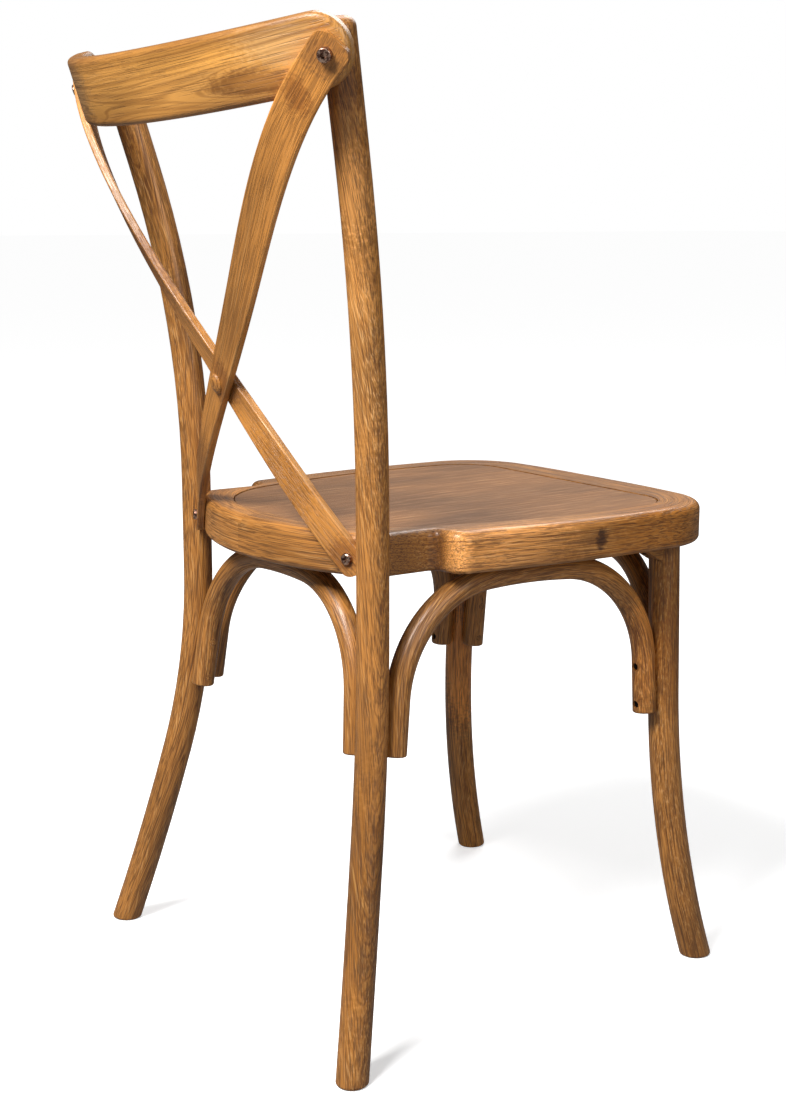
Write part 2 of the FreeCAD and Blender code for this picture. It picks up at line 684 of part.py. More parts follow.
class Slat:
    """One slat of the crossed back, drawn from the left foot up to the right end of the crest rail."""

    def __init__(self, layer):
        half = SLAT_THICKNESS / 2
        ring_axis = SEAT_REAR_Y - SEAT_REAR_RADIUS
        turn = math.asin(SLAT_FOOT_X / SEAT_REAR_RADIUS)
        outward = Vector(math.sin(turn), math.cos(turn), 0)
        height = SEAT_HEIGHT - SLAT_FOOT_BELOW_TOP
        self.axes = [(height, ring_axis), (CREST_BOLT_HEIGHT, CONE.axis_y)]
        self.foot = Vector(0, ring_axis, height) + outward * (SEAT_REAR_RADIUS + half)
        self.foot_rise = self.along(outward, SLAT_FOOT_CLIMB)
        normal = CONE.normal(-CREST_WRAP)
        self.top = CONE.surface(-CREST_WRAP, CREST_BOLT_HEIGHT, CONE.outer) + normal * half
        self.top_rise = self.along(normal, SLAT_TOP_CLIMB)
        step = layer * (SLAT_THICKNESS + CROSS_FIT) / 2
        cross = Vector(0, SLAT_CROSS_Y + step, SLAT_CROSS_HEIGHT)
        upper = Vector(-SLAT_UPPER_X, SLAT_UPPER_Y + step / 2, SLAT_UPPER_HEIGHT)
        self.curve = Part.BSplineCurve()
        self.curve.interpolate(Points=[self.foot, cross, upper, self.top],
                               InitialTangent=self.foot_rise, FinalTangent=self.top_rise, Scale=True)
        self.crossing = cross
        self.lift = unit(self.curve.tangent(self.curve.parameter(cross))[0])

    @staticmethod
    def along(normal, climb):
        """Direction towards the right that climbs at an angle within the plane of a normal."""
        level = unit(UP.cross(normal))
        level = level if level.x < 0 else level * -1
        upright = unit(level.cross(normal))
        upright = upright if upright.z > 0 else upright * -1
        return level * math.cos(math.radians(climb)) + upright * math.sin(math.radians(climb))

    def outward(self, point, rise):
        """The slat's normal, which points straight away from the axis of the curved back."""
        (low, low_y), (high, high_y) = self.axes
        share = min(1.0, max(0.0, (point.z - low) / (high - low)))
        level = unit(Vector(point.x, point.y - low_y - share * (high_y - low_y), 0))
        return unit(level - UP * (level.dot(rise) / rise.z))

    @staticmethod
    def width(height):
        """The slat's width, which grows from the crossing up to the crest rail."""
        share = (height - SLAT_CROSS_HEIGHT) / (CREST_BOLT_HEIGHT - SLAT_CROSS_HEIGHT)
        return SLAT_WIDTH + (SLAT_TOP_WIDTH - SLAT_WIDTH) * min(1.0, max(0.0, share))

    def section(self, point, rise):
        """The slat's section at a point, with rounded corners."""
        normal = self.outward(point, rise)
        half = self.width(point.z) / 2
        profile = outline_of(rounded_path([
            (0, -SLAT_THICKNESS / 2, 0),
            (half, -SLAT_THICKNESS / 2, SLAT_EDGE_ROUND),
            (half, SLAT_THICKNESS / 2, SLAT_EDGE_ROUND),
            (0, SLAT_THICKNESS / 2, 0)])).OuterWire
        profile.transformShape(frame_of(rise.cross(normal), normal, rise, point))
        return profile

    def end_trim(self, point, rise, normal, reach, corner):
        """The material beyond a rounded end that lies a reach past a point."""
        half = self.width(point.z) / 2
        deep = 4 * half
        block = Part.makeBox(4 * half, 3 * half, deep, Vector(-2 * half, reach - half, -deep / 2))
        keep = Part.makeBox(2.02 * half, 2 * half, deep, Vector(-1.01 * half, reach - 2 * half, -deep / 2))
        tips = [edge for edge in keep.Edges
                if edge.Length > deep - 0.01 and edge.CenterOfMass.y > reach - half]
        trim = block.cut(keep.makeFillet(corner, tips))
        trim.transformShape(frame_of(rise.cross(normal), rise, normal, point))
        return trim

    def solid(self, holes):
        """The slat with its rounded ends and its screw holes."""
        first, last = self.curve.FirstParameter, self.curve.LastParameter
        places = [first + (last - first) * step / (SLAT_STATIONS - 1) for step in range(SLAT_STATIONS)]
        points = [(self.foot - self.foot_rise * SLAT_WIDTH, self.foot_rise)]
        points += [(self.curve.value(place), unit(self.curve.tangent(place)[0])) for place in places]
        points.append((self.top + self.top_rise * SLAT_WIDTH, self.top_rise))
        bar = Part.makeLoft([self.section(point, rise) for point, rise in points], True, False)
        foot_normal = self.outward(self.foot, self.foot_rise)
        foot = self.end_trim(self.foot, self.foot_rise * -1, foot_normal, SLAT_FOOT_TIP, SLAT_FOOT_CORNER)
        top = self.end_trim(self.top, self.top_rise, CONE.normal(-CREST_WRAP), SLAT_TOP_TIP, SLAT_TOP_CORNER)
        return bar.cut([foot, top] + holes)


# Fasteners and small pieces, drawn for the left side unless they cross the middle
def crest_bolt(slat):
    """The bolt through the top of a slat and the crest rail into the right upright."""
    normal = CONE.normal(-CREST_WRAP)
    bearing = slat.top + normal * (SLAT_THICKNESS / 2)
    length = SLAT_THICKNESS + CREST_THICKNESS + CREST_BOLT_BITE
    return Fastener(bearing, normal * -1, CREST_BOLT_HEAD, CREST_BOLT_HEAD_HEIGHT, CREST_BOLT_SHANK, length,
                    CREST_BOLT_SOCKET, CREST_BOLT_HEAD_HEIGHT / 5)


def slat_screw(slat):
    """The screw through the foot of a slat into the rear of the ring."""
    outward = slat.outward(slat.foot, slat.foot_rise)
    bearing = slat.foot + outward * (SLAT_THICKNESS / 2)
    return Fastener(bearing, outward * -1, SLAT_SCREW_HEAD, SLAT_SCREW_HEAD_HEIGHT, SLAT_SCREW_SHANK,
                    SLAT_SCREW_LENGTH, 0.0, SLAT_SCREW_HEAD_HEIGHT * 0.6)


def crossing_screw(slat):
    """The small screw that joins the two slats where they cross."""
    outward = slat.outward(slat.crossing, slat.lift)
    bearing = slat.crossing + outward * (SLAT_THICKNESS / 2 - CROSS_SCREW_SINK)
    return arch_screw(bearing, outward * -1, CROSS_SCREW_LENGTH)


def make_button(slat):
    """The oval button that covers the crossing screw."""
    outward = slat.outward(slat.crossing, slat.lift)
    dome = Part.makeSphere(1, ORIGIN, UP, 0, 90, 360)
    scale = FreeCAD.Matrix()
    scale.scale(BUTTON_WIDTH / 2, BUTTON_HEIGHT / 2, BUTTON_RISE)
    dome = dome.transformGeometry(scale)
    stem = Part.makeCylinder(ARCH_SCREW_HEAD / 2, BUTTON_STEM_LENGTH + 1, Vector(0, 0, -BUTTON_STEM_LENGTH))
    button = merged([dome, stem])
    seat = slat.crossing + outward * (SLAT_THICKNESS / 2)
    button.transformShape(frame_of(X * -1, unit(UP - outward * outward.z), outward, seat))
    return button


def seat_bolt():
    """The bolt from inside the ring into the left upright, over its washer."""
    direction = seat_bolt_direction()
    reach = SEAT_BOLT_REACH + WASHER_THICKNESS
    bearing = Vector(REAR_LEG_X, REAR_LEG_Y, SEAT_BOLT_HEIGHT) - direction * reach
    return Fastener(bearing, direction, SEAT_BOLT_HEAD, SEAT_BOLT_HEAD_HEIGHT, SEAT_BOLT_SHANK,
                    reach + SEAT_BOLT_TIP, SEAT_BOLT_SOCKET, SEAT_BOLT_HEAD_HEIGHT / 6)


def sleeve(fastener, outer, start, length):
    """A ring round a fastener's shank, between two distances along it."""
    hole = fastener.rod(fastener.shank / 2 + BORE_FIT, start - 1, start + length + 1)
    return fastener.rod(outer / 2, start, start + length).cut(hole)


def make_block(cuts):
    """The glue block under the ring, behind the left front leg."""
    centre = centre_at(FRONT_WIRE, SEAT_BOTTOM)
    near = centre - X * (BLOCK_WIDTH / 2)
    far = near + Y * BLOCK_REACH
    ring = [near, far, far - UP * BLOCK_TIP_DROP, near - UP * BLOCK_DROP, near]
    return Part.Face(Part.makePolygon(ring)).extrude(X * BLOCK_WIDTH).cut(cuts)


def block_screw():
    """The screw up through the glue block into the ring."""
    centre = centre_at(FRONT_WIRE, SEAT_BOTTOM)
    reach = (FRONT_LEG_RADIUS + BLOCK_REACH) / 2
    drop = BLOCK_DROP + (BLOCK_TIP_DROP - BLOCK_DROP) * reach / BLOCK_REACH
    place = centre + Y * reach - UP * (drop - ARCH_SCREW_HEAD_HEIGHT - 1)
    return arch_screw(place, UP, BLOCK_SCREW_LENGTH)


def pair(shape):
    """The shape and its mirror image."""
    return [shape, mirror_image(shape)]


def build():
    """Every node of the chair by name, each a list of solids."""
    rear_arch = cross_arch(REAR_WIRE, REAR_LEG_RADIUS, ARCH_FOOT_HEIGHT, REAR_ARCH_LEAN,
                           REAR_ARCH_SHOULDER, REAR_ARCH_RADIUS)
    front_arch = cross_arch(FRONT_WIRE, FRONT_LEG_RADIUS, FRONT_ARCH_FOOT_HEIGHT, FRONT_ARCH_LEAN,
                            FRONT_ARCH_SHOULDER, FRONT_ARCH_RADIUS)
    left_arch = side_arch()
    outer, inner = Slat(1), Slat(-1)
    across_screws = rear_arch.foot_screws() + front_arch.foot_screws()
    middle_crowns = rear_arch.crown_screws() + front_arch.crown_screws()
    bolt, foot_screw, cross_screw = crest_bolt(outer), slat_screw(outer), crossing_screw(outer)
    seat_fixing, glue_screw = seat_bolt(), block_screw()

    grip = SLAT_THICKNESS + CREST_THICKNESS
    crest_sleeve = (CREST_INSERT_DIAMETER, grip + INSERT_DEPTH, CREST_INSERT_LENGTH)
    crest_hole = bolt.rod(CREST_INSERT_DIAMETER / 2 + BORE_FIT, grip, sum(crest_sleeve[1:]) + 1)
    leg_side = WASHER_THICKNESS + SEAT_BOLT_REACH - REAR_LEG_RADIUS
    seat_sleeve = (SEAT_INSERT_DIAMETER, leg_side + INSERT_DEPTH, SEAT_INSERT_LENGTH)
    seat_hole = seat_fixing.rod(SEAT_INSERT_DIAMETER / 2 + BORE_FIT, leg_side - 1, sum(seat_sleeve[1:]))
    washer_well = seat_fixing.rod(WASHER_DIAMETER / 2 + CROSS_FIT, -SEAT_BOLT_REACH / 2, WASHER_THICKNESS)

    rear_tool = rod_along(REAR_WIRE, REAR_LEG_RADIUS + SEAT_FIT)
    front_tool = rod_along(FRONT_WIRE, FRONT_LEG_RADIUS + SEAT_FIT)
    side_bores = [screw.bore() for screw in left_arch.foot_screws()]
    across_bores = [screw.bore() for screw in across_screws]

    upright_bores = [mirror_image(bolt.bore()), mirror_image(crest_hole), seat_fixing.bore(), seat_hole]
    rear_leg = make_rear_leg().cut(side_bores + across_bores + upright_bores)
    front_leg = make_front_leg().cut(side_bores + across_bores)
    ring_bores = pair(rear_tool) + pair(seat_fixing.bore()) + pair(washer_well) + pair(foot_screw.bore())
    ring_bores += pair(tenon(TENON_DIAMETER / 2 + BORE_FIT, TENON_LENGTH + 1)) + pair(glue_screw.bore())
    ring_bores += [screw.bore() for screw in middle_crowns]
    for screw in left_arch.crown_screws():
        ring_bores += pair(screw.bore())
    left_side = left_arch.solid([rear_tool, front_tool])
    outer_cuts = pair(rear_tool) + [bolt.bore(), foot_screw.bore(), cross_screw.bore(SLAT_THICKNESS)]
    inner_cuts = pair(rear_tool) + [bolt.bore(), foot_screw.bore(), mirror_image(cross_screw.bore())]
    block = make_block([front_tool, glue_screw.bore(ARCH_SCREW_HEAD)])

    screws = [screw.solid() for screw in across_screws]
    crowns = [screw.solid() for screw in middle_crowns]
    for screw in left_arch.foot_screws():
        screws += pair(screw.solid())
    for screw in left_arch.crown_screws():
        crowns += pair(screw.solid())
    return {
        "seat_frame": [make_seat_frame(ring_bores)],
        "seat_panel": [make_seat_panel()],
        "rear_leg_left": [rear_leg],
        "rear_leg_right": [mirror_image(rear_leg)],
        "front_leg_left": [front_leg],
        "front_leg_right": [mirror_image(front_leg)],
        "arch_rear": [rear_arch.solid(pair(rear_tool))],
        "arch_front": [front_arch.solid(pair(front_tool))],
        "arch_left": [left_side],
        "arch_right": [mirror_image(left_side)],
        "corner_block_front_left": [block],
        "corner_block_front_right": [mirror_image(block)],
        "crest_rail": [make_crest_rail(pair(rear_tool) + pair(bolt.bore()))],
        "cross_slat_outer": [outer.solid(outer_cuts)],
        "cross_slat_inner": [mirror_image(inner.solid(inner_cuts))],
        "crossing_button": [make_button(outer)],
        "crossing_screw": [cross_screw.solid()],
        "crest_bolts": pair(bolt.solid()),
        "crest_inserts": pair(sleeve(bolt, *crest_sleeve)),
        "slat_foot_screws": pair(foot_screw.solid()),
        "arch_foot_screws": screws,
        "arch_foot_plugs": rear_arch.foot_plugs() + front_arch.foot_plugs(),
        "arch_crown_screws": crowns,
        "corner_block_screws": pair(glue_screw.solid()),
        "upright_bolts": pair(seat_fixing.solid()),
        "upright_washers": pair(sleeve(seat_fixing, WASHER_DIAMETER, 0, WASHER_THICKNESS)),
        "upright_inserts": pair(sleeve(seat_fixing, *seat_sleeve)),
    }


def main():
    """Write each node to its own file, with the origin at the bottom centre of the chair."""
    nodes = {name: Part.makeCompound(solids) for name, solids in build().items()}
    box = Part.makeCompound(list(nodes.values())).optimalBoundingBox(False, False)
    shift = Vector(-box.Center.x, -box.Center.y, -box.ZMin)
    os.makedirs("parts", exist_ok=True)
    for name, shape in nodes.items():
        shape.translate(shift)
        shape.exportStep(f"parts/{name}.step")


main()
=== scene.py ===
"""Cross back chair: its wood and metal finishes, and the studio and camera around it.

Every length is in metres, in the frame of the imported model: the chair stands on z = 0 and faces -Y,
and its left side is +X.
"""
import logging
import math
from dataclasses import dataclass, field
from enum import Enum
from typing import Any

import bpy
import numpy as np
from mathutils import Matrix, Vector

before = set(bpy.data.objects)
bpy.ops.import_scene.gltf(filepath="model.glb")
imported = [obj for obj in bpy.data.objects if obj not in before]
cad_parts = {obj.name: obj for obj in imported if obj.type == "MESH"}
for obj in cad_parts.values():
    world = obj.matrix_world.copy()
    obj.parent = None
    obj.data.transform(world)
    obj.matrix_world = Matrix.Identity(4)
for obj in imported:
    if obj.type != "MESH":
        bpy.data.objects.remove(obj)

LOG = logging.getLogger("chair")
Point = tuple[float, float, float]
Colour = tuple[float, float, float]
Span = tuple[float, float]

BOARD = "board"
SECTION = "section"
VECTOR = "NodeSocketVector"
FLOAT = "NodeSocketFloat"
WHITE = (1.0, 1.0, 1.0)


class GrainCut(Enum):
    """How a board was sawn: the distance from the heart of the tree, across and through the board."""

    STRAIGHT = (0.085, 0.012)
    FLAME = (0.004, 0.030)
    LEANING = (0.040, 0.035)
    TURNED = (0.012, 0.085)


@dataclass(frozen=True)
class Noise:
    """Soft noise from 0 to 1: its features per metre each way, and how fine, rough and warped it is."""

    scale: Point
    detail: float = 2.0
    roughness: float = 0.5
    distortion: float = 0.0


class Graph:
    """Short calls that add nodes to one shader tree and join them."""

    def __init__(self, tree: bpy.types.NodeTree) -> None:
        """Keep the tree that the nodes go into."""
        self.tree = tree

    def add(self, kind: str, inputs: dict[Any, Any] | None = None, **settings: Any) -> bpy.types.Node:
        """Add a node.

        Args:
            kind: The node's Blender type.
            inputs: What feeds each input, by name or number: a socket to link, or a plain value.
            settings: The node's own settings.

        Returns:
            The new node.
        """
        node = self.tree.nodes.new(kind)
        for name, value in settings.items():
            setattr(node, name, value)
        for name, value in (inputs or {}).items():
            self.feed(node.inputs[name], value)
        return node

    def feed(self, socket: bpy.types.NodeSocket, value: Any) -> None:
        """Link a socket to the input, or set the input to a plain value."""
        if isinstance(value, bpy.types.NodeSocket):
            self.tree.links.new(value, socket)
        else:
            socket.default_value = value

    def math(self, operation: str, *values: Any) -> bpy.types.NodeSocket:
        """The result of a Math node."""
        return self.add("ShaderNodeMath", dict(enumerate(values)), operation=operation).outputs[0]

    def plus(self, first: Any, second: Any) -> bpy.types.NodeSocket:
        """The sum of two numbers."""
        return self.math("ADD", first, second)

    def times(self, first: Any, second: Any) -> bpy.types.NodeSocket:
        """The product of two numbers."""
        return self.math("MULTIPLY", first, second)

    def vector_math(self, operation: str, *values: Any) -> bpy.types.NodeSocket:
        """The result of a Vector Math node: a number for LENGTH, and otherwise a vector."""
        outputs = self.add("ShaderNodeVectorMath", dict(enumerate(values)), operation=operation).outputs
        return outputs["Value" if operation == "LENGTH" else "Vector"]

    def split(self, vector: bpy.types.NodeSocket) -> tuple[bpy.types.NodeSocket, ...]:
        """The three parts of a vector."""
        return tuple(self.add("ShaderNodeSeparateXYZ", {0: vector}).outputs)

    def noise(self, vector: bpy.types.NodeSocket, noise: Noise) -> bpy.types.NodeSocket:
        """The value of a noise at a place."""
        inputs = {"Vector": self.vector_math("MULTIPLY", vector, noise.scale), "Scale": 1.0,
                  "Detail": noise.detail, "Roughness": noise.roughness, "Distortion": noise.distortion}
        return self.add("ShaderNodeTexNoise", inputs).outputs["Fac"]

    def swing(self, value: bpy.types.NodeSocket, reach: Any) -> bpy.types.NodeSocket:
        """A value from 0 to 1 that now swings about 0, by half the reach either way."""
        return self.times(self.math("SUBTRACT", value, 0.5), reach)

    def between(self, value: bpy.types.NodeSocket, low: Any, high: Any,
                start: float = 0.0, end: float = 1.0) -> bpy.types.NodeSocket:
        """A smooth step from start to end while the value goes from low to high."""
        inputs = {"Value": value, "From Min": low, "From Max": high, "To Min": start, "To Max": end}
        return self.add("ShaderNodeMapRange", inputs, interpolation_type="SMOOTHSTEP").outputs[0]

    def past(self, value: bpy.types.NodeSocket, limit: Any, width: float) -> bpy.types.NodeSocket:
        """A smooth step from 0 at the limit to 1 at a width past it."""
        return self.between(value, limit, self.plus(limit, width))

    def blend(self, factor: Any, first: Any, second: Any, mode: str = "MIX") -> bpy.types.NodeSocket:
        """A mix of two colours."""
        inputs = {0: factor, 6: shade(first), 7: shade(second)}
        return self.add("ShaderNodeMix", inputs, data_type="RGBA", blend_type=mode).outputs[2]

    def attribute(self, name: str) -> bpy.types.NodeSocket:
        """A vector that the mesh carries under a name."""
        return self.add("ShaderNodeAttribute", attribute_name=name).outputs["Vector"]

    def place(self) -> bpy.types.NodeSocket:
        """Where a point lies, in metres."""
        return self.add("ShaderNodeTexCoord").outputs["Object"]

    def camera_ray(self) -> bpy.types.NodeSocket:
        """1 where the camera itself looks at the surface, and 0 for light that bounces."""
        return self.add("ShaderNodeLightPath").outputs["Is Camera Ray"]


def shade(colour: Any) -> Any:
    """A colour with full alpha where it is three plain numbers, and a socket as it is."""
    return (*colour, 1.0) if isinstance(colour, tuple) else colour


def new_material(name: str) -> tuple[bpy.types.Material, Graph, bpy.types.Node]:
    """A new material with its graph and its surface shader."""
    made = bpy.data.materials.new(name)
    made.use_nodes = True
    return made, Graph(made.node_tree), made.node_tree.nodes["Principled BSDF"]


class EffectGroup:
    """A shader node group with named inputs and outputs, built once and shared by the finishes."""

    name = ""
    inputs: dict[str, str] = {}
    outputs: dict[str, str] = {}

    def __init__(self) -> None:
        """Make the group and its sockets, then draw its nodes."""
        self.tree = bpy.data.node_groups.new(self.name, "ShaderNodeTree")
        for in_out, sockets in (("INPUT", self.inputs), ("OUTPUT", self.outputs)):
            for name, kind in sockets.items():
                self.tree.interface.new_socket(name=name, in_out=in_out, socket_type=kind)
        graph = Graph(self.tree)
        source = graph.add("NodeGroupInput")
        results = self.draw(graph, source.outputs)
        graph.add("NodeGroupOutput", results)

    def draw(self, graph: Graph, given: Any) -> dict[str, bpy.types.NodeSocket]:
        """Draw the group's nodes.

        Args:
            graph: The group's graph.
            given: The sockets of the group's inputs, by name.

        Returns:
            The socket behind each output, by name.
        """
        raise NotImplementedError

    def placed(self, graph: Graph, **values: Any) -> Any:
        """The outputs of this group placed in a material, with underscores in names for spaces."""
        inputs = {name.replace("_", " "): value for name, value in values.items()}
        return graph.add("ShaderNodeGroup", node_tree=self.tree, inputs=inputs).outputs


class GrowthRings(EffectGroup):
    """Growth rings that wander along the board, as dark late wood between pale early wood."""

    name = "growth_rings"
    inputs = {"Board": VECTOR, "Spacing": FLOAT, "Heart Across": FLOAT, "Heart Through": FLOAT,
              "Wander": FLOAT}
    outputs = {"Late Wood": FLOAT, "Zone": FLOAT}
    SLOW_BENDS = Noise((11.0, 11.0, 2.2))
    QUICK_BENDS = Noise((60.0, 60.0, 6.0))
    QUICK_REACH = 0.0028
    LATE_START = 0.42
    LATE_PEAK = 0.84
    FAINTEST_YEAR = 0.45
    HAIRS_PER_RING = 2.6
    HAIR_RISE = (0.30, 0.46)
    HAIR_STRENGTH = 0.7
    ZONES = Noise((45.0, 45.0, 4.0), 3.0, 0.55)

    def draw(self, graph: Graph, given: Any) -> dict[str, bpy.types.NodeSocket]:
        """Draw rings about the heart of the tree, bent by slow and quick wander."""
        across, through, _ = graph.split(given["Board"])
        wander = graph.swing(graph.noise(given["Board"], self.SLOW_BENDS), given["Wander"])
        wobble = graph.swing(graph.noise(given["Board"], self.QUICK_BENDS), self.QUICK_REACH)
        x = graph.plus(across, given["Heart Across"])
        y = graph.plus(through, given["Heart Through"])
        distance = graph.math("SQRT", graph.plus(graph.times(x, x), graph.times(y, y)))
        radius = graph.plus(graph.plus(distance, wander), wobble)
        turns = graph.math("DIVIDE", radius, given["Spacing"])
        part = graph.math("FRACT", turns)
        rise = graph.between(part, self.LATE_START, self.LATE_PEAK)
        fall = graph.between(part, self.LATE_PEAK, 1.0, 1.0, 0.0)
        year = graph.add("ShaderNodeTexWhiteNoise", {"W": graph.math("FLOOR", turns)},
                         noise_dimensions="1D").outputs["Value"]
        strength = graph.between(year, 0.0, 1.0, self.FAINTEST_YEAR, 1.0)
        ring = graph.times(graph.times(rise, fall), strength)
        hair = graph.math("PINGPONG", graph.times(turns, self.HAIRS_PER_RING), 0.5)
        hair = graph.between(hair, *self.HAIR_RISE, 0.0, self.HAIR_STRENGTH)
        return {"Late Wood": graph.math("MAXIMUM", ring, hair),
                "Zone": graph.noise(given["Board"], self.ZONES)}


class Pores(EffectGroup):
    """Short dark pores that lie along the grain."""

    name = "pores"
    inputs = {"Board": VECTOR, "Amount": FLOAT}
    outputs = {"Mask": FLOAT}
    FINE = Noise((1100.0, 1100.0, 26.0), 1.0)
    COARSE = Noise((760.0, 760.0, 9.0), 2.0, 0.6)
    LIMITS = (0.66, 0.38)
    SOFTNESS = 0.10

    def draw(self, graph: Graph, given: Any) -> dict[str, bpy.types.NodeSocket]:
        """Draw a fine and a coarse set of pores and keep the deeper of the two."""
        limit = graph.between(given["Amount"], 0.0, 1.0, *self.LIMITS)
        fine, coarse = (graph.past(graph.noise(given["Board"], size), limit, self.SOFTNESS)
                        for size in (self.FINE, self.COARSE))
        return {"Mask": graph.math("MAXIMUM", fine, coarse)}


class BrushedStain(EffectGroup):
    """Dark stain left behind in broad and narrow strokes by hand brushing."""

    name = "brushed_stain"
    inputs = {"Board": VECTOR, "Cover": FLOAT}
    outputs = {"Mask": FLOAT, "Tone": FLOAT}
    PATCHES = Noise((34.0, 34.0, 7.0), 3.0, 0.5, 0.4)
    STROKES = Noise((520.0, 520.0, 4.5), 3.0, 0.55)
    TONES = Noise((16.0, 16.0, 5.0))
    LIMITS = (0.68, 0.34)
    PATCH_SOFTNESS = 0.26
    PATCH_SHARE = 0.45
    STROKE_BELOW = 0.02
    STROKE_ABOVE = 0.2
    STROKE_SHARE = 0.55

    def draw(self, graph: Graph, given: Any) -> dict[str, bpy.types.NodeSocket]:
        """Draw patches and strokes of stain and a slow change of tone."""
        limit = graph.between(given["Cover"], 0.0, 1.0, *self.LIMITS)
        patch = graph.past(graph.noise(given["Board"], self.PATCHES), limit, self.PATCH_SOFTNESS)
        stroke = graph.between(graph.noise(given["Board"], self.STROKES),
                               graph.math("SUBTRACT", limit, self.STROKE_BELOW),
                               graph.plus(limit, self.STROKE_ABOVE))
        mask = graph.plus(graph.times(patch, self.PATCH_SHARE), graph.times(stroke, self.STROKE_SHARE))
        return {"Mask": mask, "Tone": graph.noise(given["Board"], self.TONES)}


class Feathering(EffectGroup):
    """Short pale and dark strokes that cross the grain at a slant, as a wire brush leaves them."""

    name = "feathering"
    inputs = {"Board": VECTOR, "Slant": FLOAT}
    outputs = {"Pale": FLOAT, "Dark": FLOAT}
    STROKES = Noise((820.0, 640.0, 12.0))
    TUFTS = Noise((48.0, 48.0, 6.0))
    TUFT_RISE = (0.30, 0.60)
    PALE_RISE = (0.52, 0.70)
    DARK_RISE = (0.48, 0.30)

    def draw(self, graph: Graph, given: Any) -> dict[str, bpy.types.NodeSocket]:
        """Draw slanted strokes in tufts, the pale ones beside the dark ones."""
        across, through, along = graph.split(given["Board"])
        slid = graph.plus(across, graph.times(along, given["Slant"]))
        slanted = graph.add("ShaderNodeCombineXYZ", {0: slid, 1: through, 2: along}).outputs[0]
        strokes = graph.noise(slanted, self.STROKES)
        tufts = graph.between(graph.noise(given["Board"], self.TUFTS), *self.TUFT_RISE)
        return {"Pale": graph.times(graph.between(strokes, *self.PALE_RISE), tufts),
                "Dark": graph.times(graph.between(strokes, *self.DARK_RISE), tufts)}


class LightShadeOrKnotSpot(EffectGroup):
    """A ragged spot round one place on the chair, for a knot or for a patch of painted light or painted
    shade.
    """

    name = "light_shade_or_knot_spot"
    inputs = {"Place": VECTOR, "Centre": VECTOR, "Scale": VECTOR}
    outputs = {"Mask": FLOAT}
    RAGS = Noise((260.0, 190.0, 300.0), 3.0, 0.6)
    RAG_REACH = 1.5
    RISE = (1.1, 0.45)

    def draw(self, graph: Graph, given: Any) -> dict[str, bpy.types.NodeSocket]:
        """Draw a falloff with a rim broken up by noise."""
        offset = graph.vector_math("SUBTRACT", given["Place"], given["Centre"])
        reach = graph.vector_math("LENGTH", graph.vector_math("MULTIPLY", offset, given["Scale"]))
        ragged = graph.swing(graph.noise(given["Place"], self.RAGS), self.RAG_REACH)
        return {"Mask": graph.between(graph.plus(reach, ragged), *self.RISE)}


class RimShadeAndStain(EffectGroup):
    """Painted shade, with some stain, that darkens a piece towards its long edges."""

    name = "rim_shade_and_stain"
    inputs = {"Section": VECTOR, "Board": VECTOR}
    outputs = {"Mask": FLOAT}
    RAGS = Noise((60.0, 60.0, 14.0), 3.0, 0.6)
    RAG_REACH = 0.5
    RISE = (0.62, 1.30)

    def draw(self, graph: Graph, given: Any) -> dict[str, bpy.types.NodeSocket]:
        """Draw a soft ragged band that deepens towards the edges."""
        across, _, _ = graph.split(given["Section"])
        ragged = graph.times(graph.noise(given["Board"], self.RAGS), self.RAG_REACH)
        return {"Mask": graph.between(graph.plus(graph.math("ABSOLUTE", across), ragged), *self.RISE)}


class EdgeWear(EffectGroup):
    """Pale wear along the long edges of a flat piece."""

    name = "edge_wear"
    inputs = {"Section": VECTOR, "Board": VECTOR, "Width": FLOAT}
    outputs = {"Mask": FLOAT}
    BREAKS = Noise((90.0, 90.0, 22.0), 3.0)
    BREAK_RISE = (0.35, 0.62)

    def draw(self, graph: Graph, given: Any) -> dict[str, bpy.types.NodeSocket]:
        """Draw a broken line where the section comes near its edge."""
        across, _, _ = graph.split(given["Section"])
        inner = graph.math("SUBTRACT", 1.0, given["Width"])
        line = graph.between(graph.math("ABSOLUTE", across), inner, 1.0)
        broken = graph.between(graph.noise(given["Board"], self.BREAKS), *self.BREAK_RISE)
        return {"Mask": graph.times(line, broken)}


class MetalPatina(EffectGroup):
    """Uneven plating with rubbed high spots and fine turning marks."""

    name = "metal_patina"
    inputs = {"Place": VECTOR, "Rub": FLOAT}
    outputs = {"Mask": FLOAT, "Marks": FLOAT}
    BLOTCHES = Noise((420.0, 420.0, 420.0), 3.0, 0.6)
    MARKS = Noise((2600.0, 2600.0, 2600.0), 2.0, 0.7)
    UNRUBBED_LIMIT = 0.75
    RUB_REACH = 0.4
    SOFTNESS = 0.15

    def draw(self, graph: Graph, given: Any) -> dict[str, bpy.types.NodeSocket]:
        """Draw blotches of rubbed plating and fine marks."""
        limit = graph.math("SUBTRACT", self.UNRUBBED_LIMIT, graph.times(given["Rub"], self.RUB_REACH))
        mask = graph.past(graph.noise(given["Place"], self.BLOTCHES), limit, self.SOFTNESS)
        return {"Mask": mask, "Marks": graph.noise(given["Place"], self.MARKS)}


@dataclass
class Effects:
    """The shared effect groups."""

    rings: GrowthRings = field(default_factory=GrowthRings)
    pores: Pores = field(default_factory=Pores)
    stain: BrushedStain = field(default_factory=BrushedStain)
    feathering: Feathering = field(default_factory=Feathering)
    light_shade_or_knot_spot: LightShadeOrKnotSpot = field(default_factory=LightShadeOrKnotSpot)
    rim: RimShadeAndStain = field(default_factory=RimShadeAndStain)
    wear: EdgeWear = field(default_factory=EdgeWear)
    patina: MetalPatina = field(default_factory=MetalPatina)


@dataclass(frozen=True)
class Mark:
    """A knot, or a paler or darker patch, mostly painted light or painted shade: its centre, its reach each
    way, and what it multiplies.
    """

    centre: Point
    reach: Point
    tint: Colour


